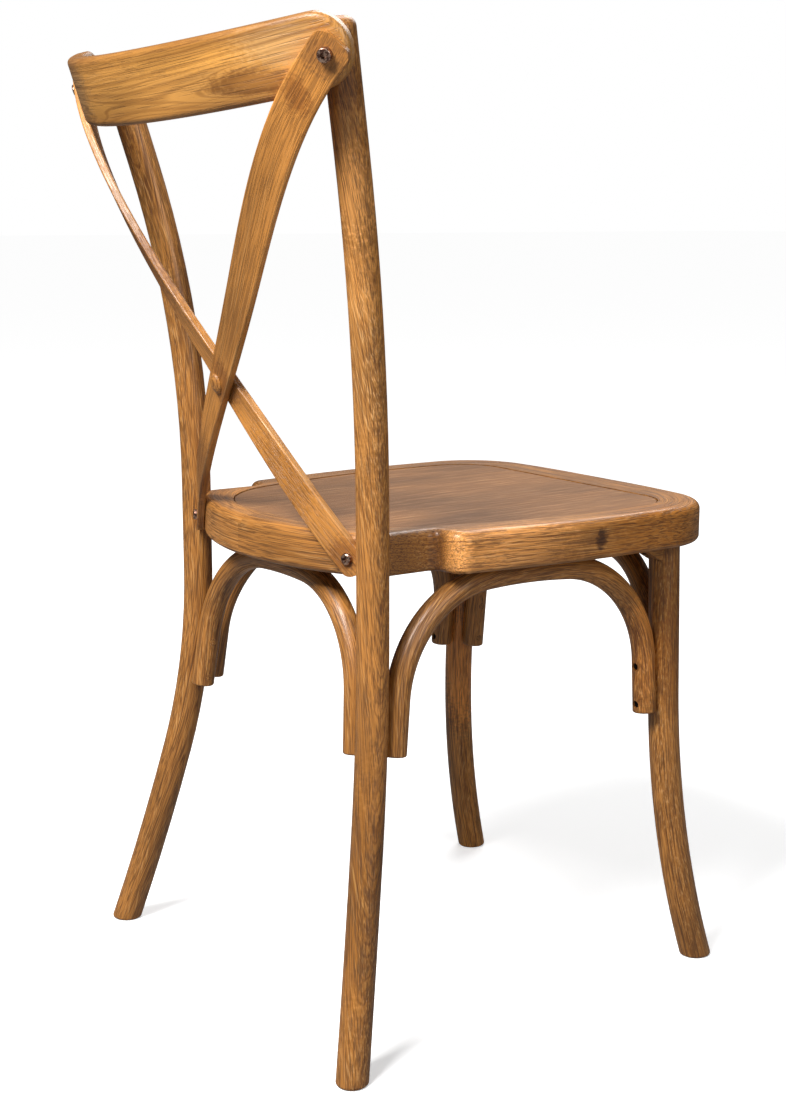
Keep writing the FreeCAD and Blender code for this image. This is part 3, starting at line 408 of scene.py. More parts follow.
@dataclass(frozen=True)
class WoodFinish:
    """A stained, brushed and lacquered wood.

    Attributes:
        name: The material's name.
        early: The colour between the rings.
        late: The colour of the rings.
        pore: The colour of the pores.
        dark: The colour of the stain left by the brush.
        worn: The colour where the finish is worn.
        cut: How the board was sawn.
        spacing: The distance from ring to ring.
        wander: How far the rings wander.
        figure: The strength of the rings.
        pore_amount: How many pores there are.
        pore_depth: The strength of the pores.
        cover: How much of the board the stain covers.
        stain_depth: The strength of the stain.
        feather: The strength of the brush's slanted strokes.
        slant: How far those strokes lean, as a share of their length.
        rim: The strength of the painted shade and stain near the edges.
        wear: The strength of the wear along the edges.
        wear_width: How far the wear reaches in, as a share of half the width.
        marks: The knots, and the paler or darker patches, most of them painted light or painted shade.
        roughness: The roughness between the pores.
        specular: The shader's specular level.
        coat: The weight of the lacquer.
        coat_roughness: The roughness of the lacquer.
        relief: The depth of the pores and rings.
    """

    name: str
    early: Colour
    late: Colour
    pore: Colour
    dark: Colour
    worn: Colour
    cut: GrainCut
    spacing: float = 0.0030
    wander: float = 0.022
    figure: float = 0.95
    pore_amount: float = 0.45
    pore_depth: float = 0.60
    cover: float = 0.36
    stain_depth: float = 0.66
    feather: float = 0.5
    slant: float = 0.16
    rim: float = 0.0
    wear: float = 0.0
    wear_width: float = 0.16
    marks: tuple[Mark, ...] = ()
    roughness: float = 0.36
    specular: float = 0.48
    coat: float = 0.14
    coat_roughness: float = 0.22
    relief: float = 0.00020

    ZONE_RISE = (0.3, 0.7)
    FAINTEST_ZONE = 0.5
    TONE_RISE = (0.28, 0.72)
    TONE_LIGHT = (0.70, 1.22)
    PORE_ROUGHNESS = 0.14
    STAIN_ROUGHNESS = 0.08
    RING_RELIEF = 0.35
    RELIEF_STRENGTH = 0.8

    def material(self, effects: Effects) -> bpy.types.Material:
        """The finish as a material.

        Args:
            effects: The shared effect groups.

        Returns:
            The new material.
        """
        made, graph, shader = new_material(self.name)
        board = graph.attribute(BOARD)
        heart_across, heart_through = self.cut.value
        rings = effects.rings.placed(graph, Board=board, Spacing=self.spacing, Heart_Across=heart_across,
                                     Heart_Through=heart_through, Wander=self.wander)
        pores = effects.pores.placed(graph, Board=board, Amount=self.pore_amount)["Mask"]
        stain = effects.stain.placed(graph, Board=board, Cover=self.cover)

        colour = self.grained(graph, rings, stain["Tone"])
        feather = effects.feathering.placed(graph, Board=board, Slant=self.slant)
        colour = graph.blend(graph.times(feather["Dark"], self.feather), colour, self.late)
        colour = graph.blend(graph.times(feather["Pale"], self.feather), colour, self.worn)
        colour = graph.blend(graph.times(pores, self.pore_depth), colour, self.pore)
        colour = graph.blend(graph.times(stain["Mask"], self.stain_depth), colour, self.dark)
        colour = self.marked(graph, effects, colour)
        graph.feed(shader.inputs["Base Color"], self.edged(graph, effects, colour, board))

        rough = graph.plus(graph.times(pores, self.PORE_ROUGHNESS), self.roughness)
        rough = graph.plus(rough, graph.times(stain["Mask"], self.STAIN_ROUGHNESS))
        graph.feed(shader.inputs["Roughness"], rough)
        shader.inputs["Specular IOR Level"].default_value = self.specular
        shader.inputs["Coat Weight"].default_value = self.coat
        shader.inputs["Coat Roughness"].default_value = self.coat_roughness

        hollow = graph.plus(pores, graph.times(rings["Late Wood"], self.RING_RELIEF))
        height = graph.math("SUBTRACT", 1.0, hollow)
        relief = {"Height": height, "Distance": self.relief, "Strength": self.RELIEF_STRENGTH}
        graph.feed(shader.inputs["Normal"], graph.add("ShaderNodeBump", relief).outputs[0])
        return made

    def grained(self, graph: Graph, rings: Any, tone: bpy.types.NodeSocket) -> bpy.types.NodeSocket:
        """The colour of the rings, lighter and darker with the tone."""
        zone = graph.between(rings["Zone"], *self.ZONE_RISE, self.FAINTEST_ZONE, 1.0)
        late = graph.times(graph.times(rings["Late Wood"], self.figure), zone)
        colour = graph.blend(late, self.early, self.late)
        light = graph.between(tone, *self.TONE_RISE, *self.TONE_LIGHT)
        grey = graph.add("ShaderNodeCombineColor", {0: light, 1: light, 2: light}).outputs[0]
        return graph.blend(1.0, colour, grey, "MULTIPLY")

    def marked(self, graph: Graph, effects: Effects, colour: bpy.types.NodeSocket) -> bpy.types.NodeSocket:
        """The colour with the knots and the patches of painted light and painted shade on it."""
        place = graph.place()
        for mark in self.marks:
            scale = tuple(1 / reach for reach in mark.reach)
            spot = effects.light_shade_or_knot_spot.placed(graph, Place=place, Centre=mark.centre, Scale=scale)["Mask"]
            # Each mark multiplies the colour: a real knot, or mostly a patch of painted light or painted
            # shade.
            colour = graph.blend(spot, colour, mark.tint, "MULTIPLY")
        return colour

    def edged(self, graph: Graph, effects: Effects, colour: bpy.types.NodeSocket,
              board: bpy.types.NodeSocket) -> bpy.types.NodeSocket:
        """The colour with painted shade and stain, and wear, near the long edges."""
        section = graph.attribute(SECTION)
        if self.rim:
            rim = effects.rim.placed(graph, Section=section, Board=board)["Mask"]
            # Painted shade, with some stain, darkens the piece towards its long edges.
            colour = graph.blend(graph.times(rim, self.rim), colour, self.late)
        if self.wear:
            worn = effects.wear.placed(graph, Section=section, Board=board, Width=self.wear_width)["Mask"]
            colour = graph.blend(graph.times(worn, self.wear), colour, self.worn)
        return colour


@dataclass(frozen=True)
class MetalFinish:
    """A plated or bare metal."""

    name: str
    base: Colour
    rubbed: Colour
    rub: float = 0.3
    roughness: float = 0.35

    MARK_ROUGHNESS = 0.2
    MARK_DEPTH = 0.00003

    def material(self, effects: Effects) -> bpy.types.Material:
        """The finish as a material.

        Args:
            effects: The shared effect groups.

        Returns:
            The new material.
        """
        made, graph, shader = new_material(self.name)
        patina = effects.patina.placed(graph, Place=graph.place(), Rub=self.rub)
        graph.feed(shader.inputs["Base Color"], graph.blend(patina["Mask"], self.base, self.rubbed))
        shader.inputs["Metallic"].default_value = 1.0
        rough = graph.plus(graph.times(patina["Marks"], self.MARK_ROUGHNESS), self.roughness)
        graph.feed(shader.inputs["Roughness"], rough)
        relief = {"Height": patina["Marks"], "Distance": self.MARK_DEPTH}
        graph.feed(shader.inputs["Normal"], graph.add("ShaderNodeBump", relief).outputs[0])
        return made


LEFTWARDS = (1.0, 0.0, 0.0)
BACKWARDS = (0.0, 1.0, 0.0)
UPWARDS = (0.0, 0.0, 1.0)


@dataclass(frozen=True)
class GrainPath:
    """The smooth line that a piece's grain follows.

    Attributes:
        points: Points along the line.
        facing: The way the piece's broad face looks at each point, or one way for all of them.
        closed: Whether the line goes on from its last point to its first.
    """

    points: tuple[Point, ...]
    facing: tuple[Point, ...]
    closed: bool = False

    STEPS = 24
    BLOCK = 4000

    def mirrored(self) -> "GrainPath":
        """The same path on the other side of the chair's middle plane."""
        flip = [tuple((-x, y, z) for x, y, z in row) for row in (self.points, self.facing)]
        return GrainPath(flip[0], flip[1], self.closed)

    def sampled(self, row: tuple[Point, ...]) -> np.ndarray:
        """Samples of a smooth curve through a row of points.

        Args:
            row: The points, or the one vector that holds all along the path.

        Returns:
            The samples, one to a line, with the same number for each span.
        """
        spans = len(self.points) if self.closed else len(self.points) - 1
        if len(row) == 1:
            return np.tile(np.array(row[0], float), (spans * self.STEPS + 1, 1))
        given = np.array(row, float)
        if self.closed:
            padded = np.vstack([given[-1], given, given[0], given[1]])
        else:
            padded = np.vstack([2 * given[0] - given[1], given, 2 * given[-1] - given[-2]])
        share = np.linspace(0.0, 1.0, self.STEPS, endpoint=False)[:, None]
        curve = []
        for a, b, c, d in zip(padded, padded[1:], padded[2:], padded[3:]):
            curve.append(0.5 * (2 * b + (c - a) * share + (2 * a - 5 * b + 4 * c - d) * share ** 2
                                + (3 * b - a - 3 * c + d) * share ** 3))
        curve = curve[:spans]
        last = given[0] if self.closed else given[-1]
        return np.vstack(curve + [last[None, :]])

    def measured(self, places: np.ndarray) -> tuple[np.ndarray, float]:
        """Where places lie in the piece.

        Args:
            places: The places, one to a line.

        Returns:
            Their distance across, through and along the piece, and the length of the path.
        """
        line = self.sampled(self.points)
        face = self.sampled(self.facing)
        runs = np.diff(line, axis=0)
        lengths = np.linalg.norm(runs, axis=1)
        reach = np.concatenate([[0.0], np.cumsum(lengths)])
        nearest = np.empty(len(places), int)
        middles = (line[:-1] + line[1:]) / 2
        for start in range(0, len(places), self.BLOCK):
            block = slice(start, start + self.BLOCK)
            apart = ((places[block][:, None, :] - middles[None, :, :]) ** 2).sum(2)
            nearest[block] = apart.argmin(1)
        heading = (runs / lengths[:, None])[nearest]
        offset = places - line[nearest]
        along = (offset * heading).sum(1)
        share = np.clip(along / lengths[nearest], 0.0, 1.0)[:, None]
        normal = face[nearest] * (1 - share) + face[nearest + 1] * share
        normal -= heading * (normal * heading).sum(1)[:, None]
        normal /= np.linalg.norm(normal, axis=1)[:, None]
        sideways = np.cross(heading, normal)
        result = np.stack([(offset * sideways).sum(1), (offset * normal).sum(1), reach[nearest] + along], 1)
        return result, reach[-1]


@dataclass(frozen=True)
class Board:
    """One wooden piece of the frame.

    Attributes:
        node: The piece's node.
        path: The path of its grain.
        finish: Its finish.
        place: Where along the plank it was cut from, so that no two pieces have the same grain.
        runout: How far the grain drifts sideways for each metre along.
        turn: How far the plank is turned about its length, in degrees.
    """

    node: str
    path: GrainPath
    finish: WoodFinish
    place: float
    runout: float = 0.0
    turn: float = 0.0

    SECTION_BINS = 60
    THINNEST = 1e-4

    def dress(self, materials: dict[str, bpy.types.Material]) -> None:
        """Write the grain onto the node's mesh and give it its finish.

        Args:
            materials: The materials by the name of their finish.
        """
        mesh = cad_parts[self.node].data
        places = np.empty(len(mesh.vertices) * 3, np.float32)
        mesh.vertices.foreach_get("co", places)
        local, length = self.path.measured(places.reshape(-1, 3).astype(float))
        vertex_at = np.empty(len(mesh.loops), np.int32)
        mesh.loops.foreach_get("vertex_index", vertex_at)
        rows = local[vertex_at]
        if self.path.closed:
            rows = self.unwrapped(mesh, rows, length)
        self.write(mesh, SECTION, self.section(local, length)[vertex_at])
        self.write(mesh, BOARD, self.in_plank(rows))
        finish_with(self.node, materials[self.finish.name])
        LOG.info("%s: %s, %.0f mm of grain", self.node, self.finish.name, length * 1000)

    def in_plank(self, rows: np.ndarray) -> np.ndarray:
        """The rows as places in the plank that the piece was cut from."""
        across, through, along = rows.T
        cosine, sine = math.cos(math.radians(self.turn)), math.sin(math.radians(self.turn))
        return np.stack([across * cosine - through * sine + along * self.runout,
                         across * sine + through * cosine, along + self.place], 1)

    @staticmethod
    def write(mesh: bpy.types.Mesh, name: str, rows: np.ndarray) -> None:
        """Store one vector for each corner of the mesh's faces."""
        layer = mesh.attributes.new(name, "FLOAT_VECTOR", "CORNER")
        layer.data.foreach_set("vector", rows.astype(np.float32).ravel())

    @staticmethod
    def unwrapped(mesh: bpy.types.Mesh, rows: np.ndarray, length: float) -> np.ndarray:
        """The rows with each face kept whole where a closed path starts again."""
        rows = rows.copy()
        starts = np.empty(len(mesh.polygons), np.int32)
        totals = np.empty(len(mesh.polygons), np.int32)
        mesh.polygons.foreach_get("loop_start", starts)
        mesh.polygons.foreach_get("loop_total", totals)
        faces = np.repeat(np.arange(len(starts)), totals)
        highest = np.full(len(starts), -np.inf)
        np.maximum.at(highest, faces, rows[:, 2])
        behind = highest[faces] - rows[:, 2] > length / 2
        rows[behind, 2] += length
        return rows

    def section(self, local: np.ndarray, length: float) -> np.ndarray:
        """Each place's share of the way from the middle of the section to its sides."""
        bins = self.SECTION_BINS
        slot = np.clip((local[:, 2] / length * bins).astype(int), 0, bins - 1)
        shares = local.copy()
        for column in (0, 1):
            widest = np.full(bins, self.THINNEST)
            np.maximum.at(widest, slot, np.abs(local[:, column]))
            filled = np.maximum.reduce([widest, np.roll(widest, 1), np.roll(widest, -1)])
            shares[:, column] = local[:, column] / filled[slot]
        return shares


def finish_with(node: str, material: bpy.types.Material) -> None:
    """Give a node of the frame one material."""
    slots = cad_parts[node].data.materials
    slots.clear()
    slots.append(material)


GOLDEN = dict(early=(0.50, 0.208, 0.045), late=(0.185, 0.062, 0.011), pore=(0.060, 0.021, 0.005),
              dark=(0.085, 0.033, 0.009), worn=(0.70, 0.37, 0.13))

# Tints for the marks: the first brightens a patch as painted light, the second darkens one as painted
# shade, and the third is a real knot.
PAINTED_LIGHT = (1.40, 1.48, 1.65)
PAINTED_SHADE = (0.62, 0.55, 0.48)
KNOT = (0.22, 0.18, 0.18)
# Painted light and shade on the legs, in order: a painted highlight and a painted sheen up the near
# upright, painted shadow on it under the crest rail, painted shade low on the near rear leg, painted
# highlights on the far upright, painted light on the far front leg, and painted shade on the near front leg
# under the seat.
FRAME_MARKS = (
    Mark((-0.168, 0.134, 0.640), (0.030, 0.030, 0.150), PAINTED_LIGHT),
    Mark((-0.194, 0.160, 0.745), (0.030, 0.040, 0.045), (1.42, 1.50, 1.75)),
    Mark((-0.202, 0.180, 0.830), (0.030, 0.030, 0.022), PAINTED_SHADE),
    Mark((-0.190, 0.150, 0.130), (0.060, 0.060, 0.170), (0.75, 0.72, 0.62)),
    Mark((0.168, 0.152, 0.740), (0.035, 0.040, 0.100), (1.45, 1.50, 1.55)),
    Mark((0.176, 0.125, 0.580), (0.030, 0.040, 0.060), (1.15, 1.18, 1.25)),
    Mark((0.156, -0.211, 0.230), (0.030, 0.030, 0.090), (1.85, 1.65, 1.40)),
    Mark((-0.186, -0.222, 0.330), (0.030, 0.030, 0.090), (0.88, 0.78, 0.56)))
# Painted light on the front of the near side arch.
BRACE_MARKS = (
    Mark((-0.171, -0.183, 0.320), (0.030, 0.030, 0.070), (1.60, 1.45, 1.25)),)
# A real knot on the near side of the ring, then painted shade on its front, a painted sheen along its side,
# a painted highlight on its shoulder and painted shade in the hollow of its neck.
RING_MARKS = (
    Mark((-0.206, -0.106, 0.441), (0.020, 0.008, 0.013), KNOT),
    Mark((-0.200, -0.175, 0.441), (0.050, 0.065, 0.060), (0.84, 0.76, 0.58)),
    Mark((-0.192, -0.010, 0.438), (0.040, 0.085, 0.040), (1.45, 1.50, 1.75)),
    Mark((-0.178, 0.041, 0.444), (0.025, 0.013, 0.030), (1.45, 1.50, 1.60)),
    Mark((-0.162, 0.052, 0.438), (0.010, 0.008, 0.050), PAINTED_SHADE))
# Painted light and shade on the crest rail: a painted highlight on its near end, painted shade where the
# outer slat meets it, painted light across its middle, and painted shade with a grey painted sheen on its
# far end.
CREST_MARKS = (
    Mark((-0.190, 0.216, 0.860), (0.050, 0.060, 0.022), (1.05, 1.20, 1.75)),
    Mark((-0.160, 0.226, 0.832), (0.060, 0.045, 0.012), PAINTED_SHADE),
    Mark((-0.090, 0.250, 0.855), (0.090, 0.060, 0.016), (1.20, 1.20, 1.10)),
    Mark((0.115, 0.250, 0.840), (0.060, 0.040, 0.050), (0.66, 0.72, 1.05)))
# Darker patches on the slats: painted shade where the outer slat meets the crest rail, round the crossing,
# over the upper far slat and where the slats meet the seat, and two darker patches just above the seat.
SLAT_MARKS = (
    Mark((-0.221, 0.201, 0.850), (0.020, 0.030, 0.022), (0.62, 0.62, 0.72)),
    Mark((-0.195, 0.206, 0.822), (0.012, 0.030, 0.020), PAINTED_SHADE),
    Mark((-0.010, 0.178, 0.583), (0.016, 0.030, 0.030), PAINTED_SHADE),
    Mark((-0.070, 0.155, 0.505), (0.050, 0.040, 0.045), (0.70, 0.68, 0.62)),
    Mark((0.080, 0.155, 0.490), (0.050, 0.040, 0.060), (0.60, 0.56, 0.50)),
    Mark((0.120, 0.170, 0.720), (0.110, 0.080, 0.120), PAINTED_SHADE),
    Mark((-0.134, 0.130, 0.442), (0.018, 0.030, 0.020), PAINTED_SHADE),
    Mark((0.134, 0.130, 0.442), (0.018, 0.030, 0.020), PAINTED_SHADE))

FRAME_WOOD = WoodFinish("brushed_frame_wood", cut=GrainCut.LEANING, spacing=0.0026, feather=0.65, slant=0.2,
                        marks=FRAME_MARKS, **GOLDEN)
BRACE_WOOD = WoodFinish("brushed_brace_wood", cut=GrainCut.STRAIGHT, cover=0.45, feather=0.65,
                        marks=BRACE_MARKS, **GOLDEN)
RING_WOOD = WoodFinish("brushed_ring_wood", cut=GrainCut.TURNED, spacing=0.0036, wander=0.016, cover=0.38,
                       slant=0.04, marks=RING_MARKS, **GOLDEN)
PANEL_WOOD = WoodFinish("panel_veneer", early=(0.44, 0.195, 0.060), late=(0.22, 0.092, 0.028),
                        pore=(0.11, 0.045, 0.015), dark=(0.13, 0.056, 0.020), worn=(0.62, 0.36, 0.15),
                        cut=GrainCut.STRAIGHT, spacing=0.0045, figure=0.75, pore_amount=0.7, pore_depth=0.6,
                        cover=0.3, stain_depth=0.45, slant=0.02, feather=0.4, roughness=0.5, specular=0.35)
# The crest rail is darkened towards its top and bottom edges by painted shade with some stain.
CREST_WOOD = WoodFinish("flame_crest_wood", cut=GrainCut.FLAME, spacing=0.0028, wander=0.030, figure=0.85,
                        cover=0.22, stain_depth=0.45, pore_amount=0.35, pore_depth=0.45, feather=0.2,
                        slant=0.05, rim=0.7, marks=CREST_MARKS, early=(0.66, 0.31, 0.072),
                        late=(0.22, 0.082, 0.016), pore=(0.11, 0.044, 0.011), dark=(0.13, 0.056, 0.016),
                        worn=(0.74, 0.42, 0.16))
SLAT_WOOD = WoodFinish("brushed_slat_wood", cut=GrainCut.STRAIGHT, figure=0.35, pore_amount=0.5,
                       pore_depth=0.42, cover=0.2, stain_depth=0.45, feather=0.3, slant=0.0, wear=0.30,
                       marks=SLAT_MARKS, early=(0.62, 0.255, 0.050),
                       late=(0.26, 0.090, 0.016), pore=(0.078, 0.028, 0.006), dark=(0.11, 0.044, 0.012),
                       worn=(0.76, 0.42, 0.15))
BUTTON_WOOD = WoodFinish("button_wood", cut=GrainCut.FLAME, figure=0.5, cover=0.15, **GOLDEN)

BRONZE = MetalFinish("antique_bronze", (0.17, 0.085, 0.060), (0.62, 0.42, 0.31), rub=0.8, roughness=0.24)
BLACKENED = MetalFinish("blackened_steel", (0.035, 0.028, 0.024), (0.16, 0.12, 0.09), roughness=0.42)
ZINC = MetalFinish("zinc_plate", (0.58, 0.58, 0.60), (0.72, 0.72, 0.74), roughness=0.3)
BRASS = MetalFinish("turned_brass", (0.62, 0.44, 0.17), (0.78, 0.60, 0.30), roughness=0.25)

WOODS = (FRAME_WOOD, BRACE_WOOD, RING_WOOD, PANEL_WOOD, CREST_WOOD, SLAT_WOOD, BUTTON_WOOD)
METALS = (BRONZE, BLACKENED, ZINC, BRASS)


class Assembly:
    """A group of wooden pieces that are dressed together."""

    def boards(self) -> list[Board]:
        """The pieces of the assembly."""
        raise NotImplementedError

    def build(self, materials: dict[str, bpy.types.Material]) -> None:
        """Dress every piece of the assembly."""
        for board in self.boards():
            board.dress(materials)


@dataclass
class Legs(Assembly):
    """The two bent rear legs, which run up as the uprights, and the two front legs."""

    rear: tuple[Point, ...] = (
        (0.2197, 0.1800, 0.002), (0.1947, 0.1541, 0.110), (0.1729, 0.1315, 0.220), (0.1612, 0.1195, 0.330),
        (0.1600, 0.1182, 0.420), (0.1607, 0.1191, 0.520), (0.1677, 0.1290, 0.640), (0.1826, 0.1499, 0.760),
        (0.2026, 0.1780, 0.878))
    front: tuple[Point, ...] = (
        (0.1879, -0.2514, 0.002), (0.1801, -0.2313, 0.090), (0.1732, -0.2198, 0.180),
        (0.1674, -0.2171, 0.270), (0.1622, -0.2192, 0.360), (0.1576, -0.2211, 0.440))

    def boards(self) -> list[Board]:
        """The four legs, each from its own plank."""
        rear = GrainPath(self.rear, (BACKWARDS,))
        front = GrainPath(self.front, (BACKWARDS,))
        return [Board("rear_leg_right", rear.mirrored(), FRAME_WOOD, 1.3, 0.09, 20.0),
                Board("rear_leg_left", rear, FRAME_WOOD, 3.1, -0.08, 75.0),
                Board("front_leg_right", front.mirrored(), FRAME_WOOD, 5.7, 0.03, 140.0),
                Board("front_leg_left", front, FRAME_WOOD, 7.9, -0.04, 200.0)]


@dataclass
class Braces(Assembly):
    """The four arches under the seat, their plugs and the two glue blocks behind the front legs."""

    rear: tuple[Point, ...] = (
        (0.1422, 0.1252, 0.264), (0.1376, 0.1213, 0.3034), (0.1301, 0.1175, 0.3422),
        (0.1096, 0.1141, 0.3758), (0.0780, 0.1118, 0.3996), (0.0398, 0.1108, 0.4100),
        (0.0, 0.1107, 0.4113))
    front: tuple[Point, ...] = (
        (0.1431, -0.2169, 0.257), (0.1406, -0.2185, 0.2983), (0.1344, -0.2201, 0.339),
        (0.1138, -0.2215, 0.3745), (0.0811, -0.2225, 0.3994), (0.0413, -0.2229, 0.4099),
        (0.0, -0.2229, 0.4113))
    side: tuple[Point, ...] = (
        (0.1682, -0.1918, 0.257), (0.1655, -0.192, 0.2983), (0.1627, -0.1875, 0.3391),
        (0.1603, -0.1675, 0.3749), (0.1585, -0.1347, 0.3996), (0.1578, -0.0947, 0.4093),
        (0.1575, -0.0534, 0.4113), (0.1574, -0.0120, 0.4104), (0.1579, 0.0282, 0.4015),
        (0.1593, 0.0624, 0.3786), (0.1614, 0.0859, 0.3449), (0.1640, 0.0957, 0.3050),
        (0.1667, 0.1007, 0.264))
    block: tuple[Point, ...] = ((0.158, -0.221, 0.412), (0.158, -0.190, 0.412))
    plugs: tuple[Point, ...] = ((-0.20, -0.05, 0.29), (0.20, -0.05, 0.29))

    @staticmethod
    def whole(half: tuple[Point, ...]) -> tuple[Point, ...]:
        """A cross arch from the points of its left half."""
        return half + tuple((-x, y, z) for x, y, z in reversed(half[:-1]))

    def boards(self) -> list[Board]:
        """The arches, the plugs in their feet and the blocks."""
        rear = GrainPath(self.whole(self.rear), (BACKWARDS,))
        front = GrainPath(self.whole(self.front), (BACKWARDS,))
        side = GrainPath(self.side, (LEFTWARDS,))
        block = GrainPath(self.block, (UPWARDS,))
        return [Board("arch_rear", rear, BRACE_WOOD, 9.2, 0.03),
                Board("arch_front", front, BRACE_WOOD, 10.4, 0.03),
                Board("arch_right", side.mirrored(), BRACE_WOOD, 11.7, 0.05, 40.0),
                Board("arch_left", side, BRACE_WOOD, 12.9, 0.05),
                Board("arch_foot_plugs", GrainPath(self.plugs, (UPWARDS,)), BRACE_WOOD, 13.5),
                Board("corner_block_front_left", block, BRACE_WOOD, 14.1),
                Board("corner_block_front_right", block.mirrored(), BRACE_WOOD, 14.4)]


@dataclass
class Seat(Assembly):
    """The seat ring, whose grain goes round it, and the panel let into it."""

    level: float = 0.441
    ring: tuple[tuple[float, float], ...] = (
        (0.0, 0.136), (0.070, 0.126), (0.120, 0.106), (0.147, 0.074), (0.160, 0.030), (0.171, -0.020),
        (0.180, -0.090), (0.179, -0.165), (0.166, -0.218), (0.124, -0.248), (0.060, -0.254))
    front: tuple[float, float] = (0.0, -0.2555)
    panel: tuple[Point, ...] = ((0.0, 0.135, 0.455), (0.0, -0.235, 0.455))

    def boards(self) -> list[Board]:
        """The ring and the panel."""
        left = [(x, y, self.level) for x, y in self.ring]
        right = [(-x, y, z) for x, y, z in reversed(left[1:])]
        outline = tuple(left + [(*self.front, self.level)] + right)
        return [Board("seat_frame", GrainPath(outline, (UPWARDS,), closed=True), RING_WOOD, 16.0, 0.02),
                Board("seat_panel", GrainPath(self.panel, (UPWARDS,)), PANEL_WOOD, 21.0, 0.04)]


@dataclass
class Back(Assembly):
    """The crest rail bent round the back, the two slats that cross and their button.

    Attributes:
        axis_y: The y of the upright axis of the cone that the crest rail is bent round.
        radius: The radius of the rail's middle line at the height of the crest bolts.
        slope: How much wider the cone gets for each unit of height.
        bolt_height: The height of the crest bolts.
        level: The height, at y = 0, of the leaning plane that the rail lies in.
        wrap: How far the rail reaches round the cone either way, in degrees.
        slat: The middle line of the outer slat, from its foot to its top.
        slat_facing: The way the slat's broad face looks at each point of that line.
        button: The length of the button.
    """

    axis_y: float = -0.0644
    radius: float = 0.3311
    slope: float = 0.2934
    bolt_height: float = 0.8515
    level: float = 0.9106
    wrap: float = 43.0
    slat: tuple[Point, ...] = (
        (0.1358, 0.1265, 0.4390), (0.0764, 0.1526, 0.5046), (0.0133, 0.1721, 0.5690),
        (-0.0473, 0.1874, 0.6356), (-0.1067, 0.2012, 0.7087), (-0.1656, 0.2092, 0.7844),
        (-0.2213, 0.1994, 0.8504))
    slat_facing: tuple[Point, ...] = (
        (0.48, 0.88, 0.0), (0.26, 0.96, -0.05), (0.04, 0.97, -0.2), (-0.18, 0.95, -0.25),
        (-0.35, 0.90, -0.27), (-0.52, 0.82, -0.28), (-0.63, 0.75, -0.29))
    button: tuple[Point, ...] = ((0.0, 0.182, 0.573), (0.0, 0.185, 0.593))

    SPANS = 10

    def crest_path(self) -> GrainPath:
        """The middle line of the crest rail, in the plane that is square to the cone at its middle."""
        base = self.radius - self.slope * self.bolt_height
        points, facing = [], []
        for step in range(self.SPANS + 1):
            angle = math.radians(self.wrap * (2 * step / self.SPANS - 1))
            cosine = math.cos(angle)
            drop = self.slope * (self.axis_y + cosine * base)
            height = (self.level - drop) / (1 + self.slope ** 2 * cosine)
            reach = base + self.slope * height
            points.append((reach * math.sin(angle), self.axis_y + reach * cosine, height))
            facing.append((math.sin(angle), cosine, -self.slope))
        return GrainPath(tuple(points), tuple(facing))

    def boards(self) -> list[Board]:
        """The crest rail, the slats and the button where they cross."""
        slat = GrainPath(self.slat, self.slat_facing)
        return [Board("crest_rail", self.crest_path(), CREST_WOOD, 24.0, 0.02),
                Board("cross_slat_outer", slat, SLAT_WOOD, 27.0, 0.02),
                Board("cross_slat_inner", slat.mirrored(), SLAT_WOOD, 29.0, 0.02),
                Board("crossing_button", GrainPath(self.button, (BACKWARDS,)), BUTTON_WOOD, 30.0)]


@dataclass
class Hardware:
    """The screws, bolts, washers and inserts."""

    finishes: dict[str, MetalFinish] = field(default_factory=lambda: {
        "crest_bolts": BRONZE, "slat_foot_screws": BRONZE, "upright_bolts": BRONZE,
        "arch_foot_screws": BLACKENED, "arch_crown_screws": BLACKENED, "corner_block_screws": BLACKENED,
        "crossing_screw": BLACKENED, "upright_washers": ZINC, "crest_inserts": BRASS,
        "upright_inserts": BRASS})

    def build(self, materials: dict[str, bpy.types.Material]) -> None:
        """Give each kind of fastener its metal."""
        for node, finish in self.finishes.items():
            finish_with(node, materials[finish.name])
            LOG.info("%s: %s", node, finish.name)


@dataclass(frozen=True)
class Lamp:
    """A square soft lamp: its place, the length of its side and its power in watts."""

    name: str
    place: Point
    size: float
    power: float


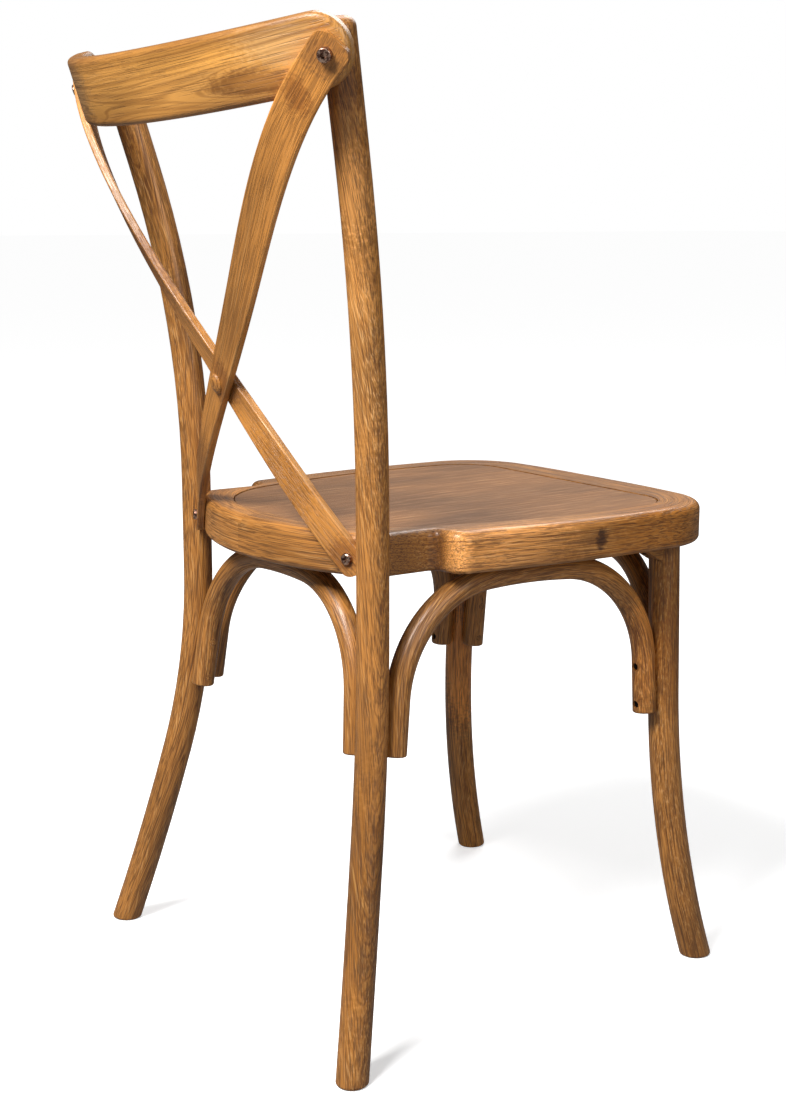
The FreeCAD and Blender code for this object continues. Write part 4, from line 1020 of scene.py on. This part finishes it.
@dataclass
class Studio:
    """The pale floor, the soft lamps, the white surround and the camera.

    Attributes:
        camera_place: Where the camera stands.
        camera_yaw: Which way it looks, in degrees clockwise from +Y.
        camera_pitch: How far it looks down, in degrees.
        lens: Its focal length in millimetres.
        sensor: The width of its sensor in millimetres.
        floor_half: Half the side of the floor.
        floor_colour: How pale the floor is to the camera.
        floor_bounce: How pale it is to the light that it throws back at the chair.
        floor_glow: How much the floor glows near the chair and far from it.
        glow_reach: Where that glow starts to rise and where it is full.
        floor_roughness: The roughness of the floor.
        surround: The strength of the surround's light.
        lamps: The lamps.
        aim: The point that the lamps look at.
    """

    camera_place: Point = (-1.3767, 0.9241, 0.7301)
    camera_yaw: float = 124.2
    camera_pitch: float = 10.9
    lens: float = 56.89
    sensor: float = 36.0
    floor_half: float = 60.0
    floor_colour: float = 0.93
    floor_bounce: float = 0.22
    floor_glow: Span = (0.42, 0.90)
    glow_reach: Span = (0.5, 3.0)
    floor_roughness: float = 0.9
    surround: float = 0.085
    lamps: tuple[Lamp, ...] = (
        Lamp("key", (-0.50, 1.70, 2.40), 1.0, 118.0),
        Lamp("fill", (-2.10, -0.20, 1.30), 1.3, 15.0),
        Lamp("back", (1.10, -1.30, 2.20), 1.4, 30.0))
    aim: Point = (0.0, 0.0, 0.45)

    def build(self) -> None:
        """Make the floor, the light and the camera."""
        self.make_floor()
        self.make_lamps()
        self.make_surround()
        self.make_camera()
        bpy.context.scene.view_settings.view_transform = "Standard"

    def make_floor(self) -> None:
        """A plain pale floor that takes the chair's shadow."""
        half = self.floor_half
        square = [(-half, -half, 0), (half, -half, 0), (half, half, 0), (-half, half, 0)]
        mesh = bpy.data.meshes.new("floor")
        mesh.from_pydata(square, [], [(0, 1, 2, 3)])
        mesh.materials.append(self.floor_paint())
        floor = bpy.data.objects.new("floor", mesh)
        bpy.context.scene.collection.objects.link(floor)

    def floor_paint(self) -> bpy.types.Material:
        """A matt paint that glows a little to the camera, and more so far from the chair."""
        made, graph, shader = new_material("floor_paint")
        shader.inputs["Roughness"].default_value = self.floor_roughness
        shader.inputs["Specular IOR Level"].default_value = 0.0
        shader.inputs["Emission Color"].default_value = shade(WHITE)
        away = graph.vector_math("LENGTH", graph.place())
        glow = graph.between(away, *self.glow_reach, *self.floor_glow)
        camera_ray = graph.camera_ray()
        paint = graph.blend(camera_ray, (self.floor_bounce,) * 3, (self.floor_colour,) * 3)
        graph.feed(shader.inputs["Base Color"], paint)
        graph.feed(shader.inputs["Emission Strength"], graph.times(glow, camera_ray))
        return made

    def make_lamps(self) -> None:
        """Large soft lamps that all look at the middle of the chair."""
        for lamp in self.lamps:
            light = bpy.data.lights.new(lamp.name, "AREA")
            light.size = lamp.size
            light.energy = lamp.power
            holder = bpy.data.objects.new(lamp.name, light)
            holder.location = lamp.place
            look = Vector(self.aim) - Vector(lamp.place)
            holder.rotation_euler = look.to_track_quat("-Z", "Y").to_euler()
            bpy.context.scene.collection.objects.link(holder)

    def make_surround(self) -> None:
        """An even surround that looks white to the camera."""
        world = bpy.data.worlds.new("surround")
        world.use_nodes = True
        bpy.context.scene.world = world
        graph = Graph(world.node_tree)
        background = world.node_tree.nodes["Background"]
        background.inputs["Color"].default_value = shade(WHITE)
        strength = graph.between(graph.camera_ray(), 0.0, 1.0, self.surround, 1.0)
        graph.feed(background.inputs["Strength"], strength)

    def make_camera(self) -> None:
        """The camera, behind the chair and to its right."""
        yaw, pitch = math.radians(self.camera_yaw), math.radians(self.camera_pitch)
        level = math.cos(pitch)
        look = Vector((math.sin(yaw) * level, math.cos(yaw) * level, -math.sin(pitch)))
        right = Vector((math.cos(yaw), -math.sin(yaw), 0.0))
        up = right.cross(look)
        camera = bpy.data.cameras.new("camera")
        camera.lens = self.lens
        camera.sensor_width = self.sensor
        camera.sensor_fit = "AUTO"
        holder = bpy.data.objects.new("camera", camera)
        turn = Matrix((right, up, -look)).transposed().to_4x4()
        holder.matrix_world = Matrix.Translation(Vector(self.camera_place)) @ turn
        bpy.context.scene.collection.objects.link(holder)
        bpy.context.scene.camera = holder


def main() -> None:
    """Dress the chair and build the studio round it."""
    logging.basicConfig(level=logging.INFO, format="%(name)s: %(message)s")
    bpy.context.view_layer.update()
    effects = Effects()
    materials = {finish.name: finish.material(effects) for finish in WOODS + METALS}
    for part in (Seat(), Legs(), Braces(), Back(), Hardware()):
        part.build(materials)
        LOG.info("%s dressed", type(part).__name__)
    Studio().build()


if __name__ == "__main__":
    main()
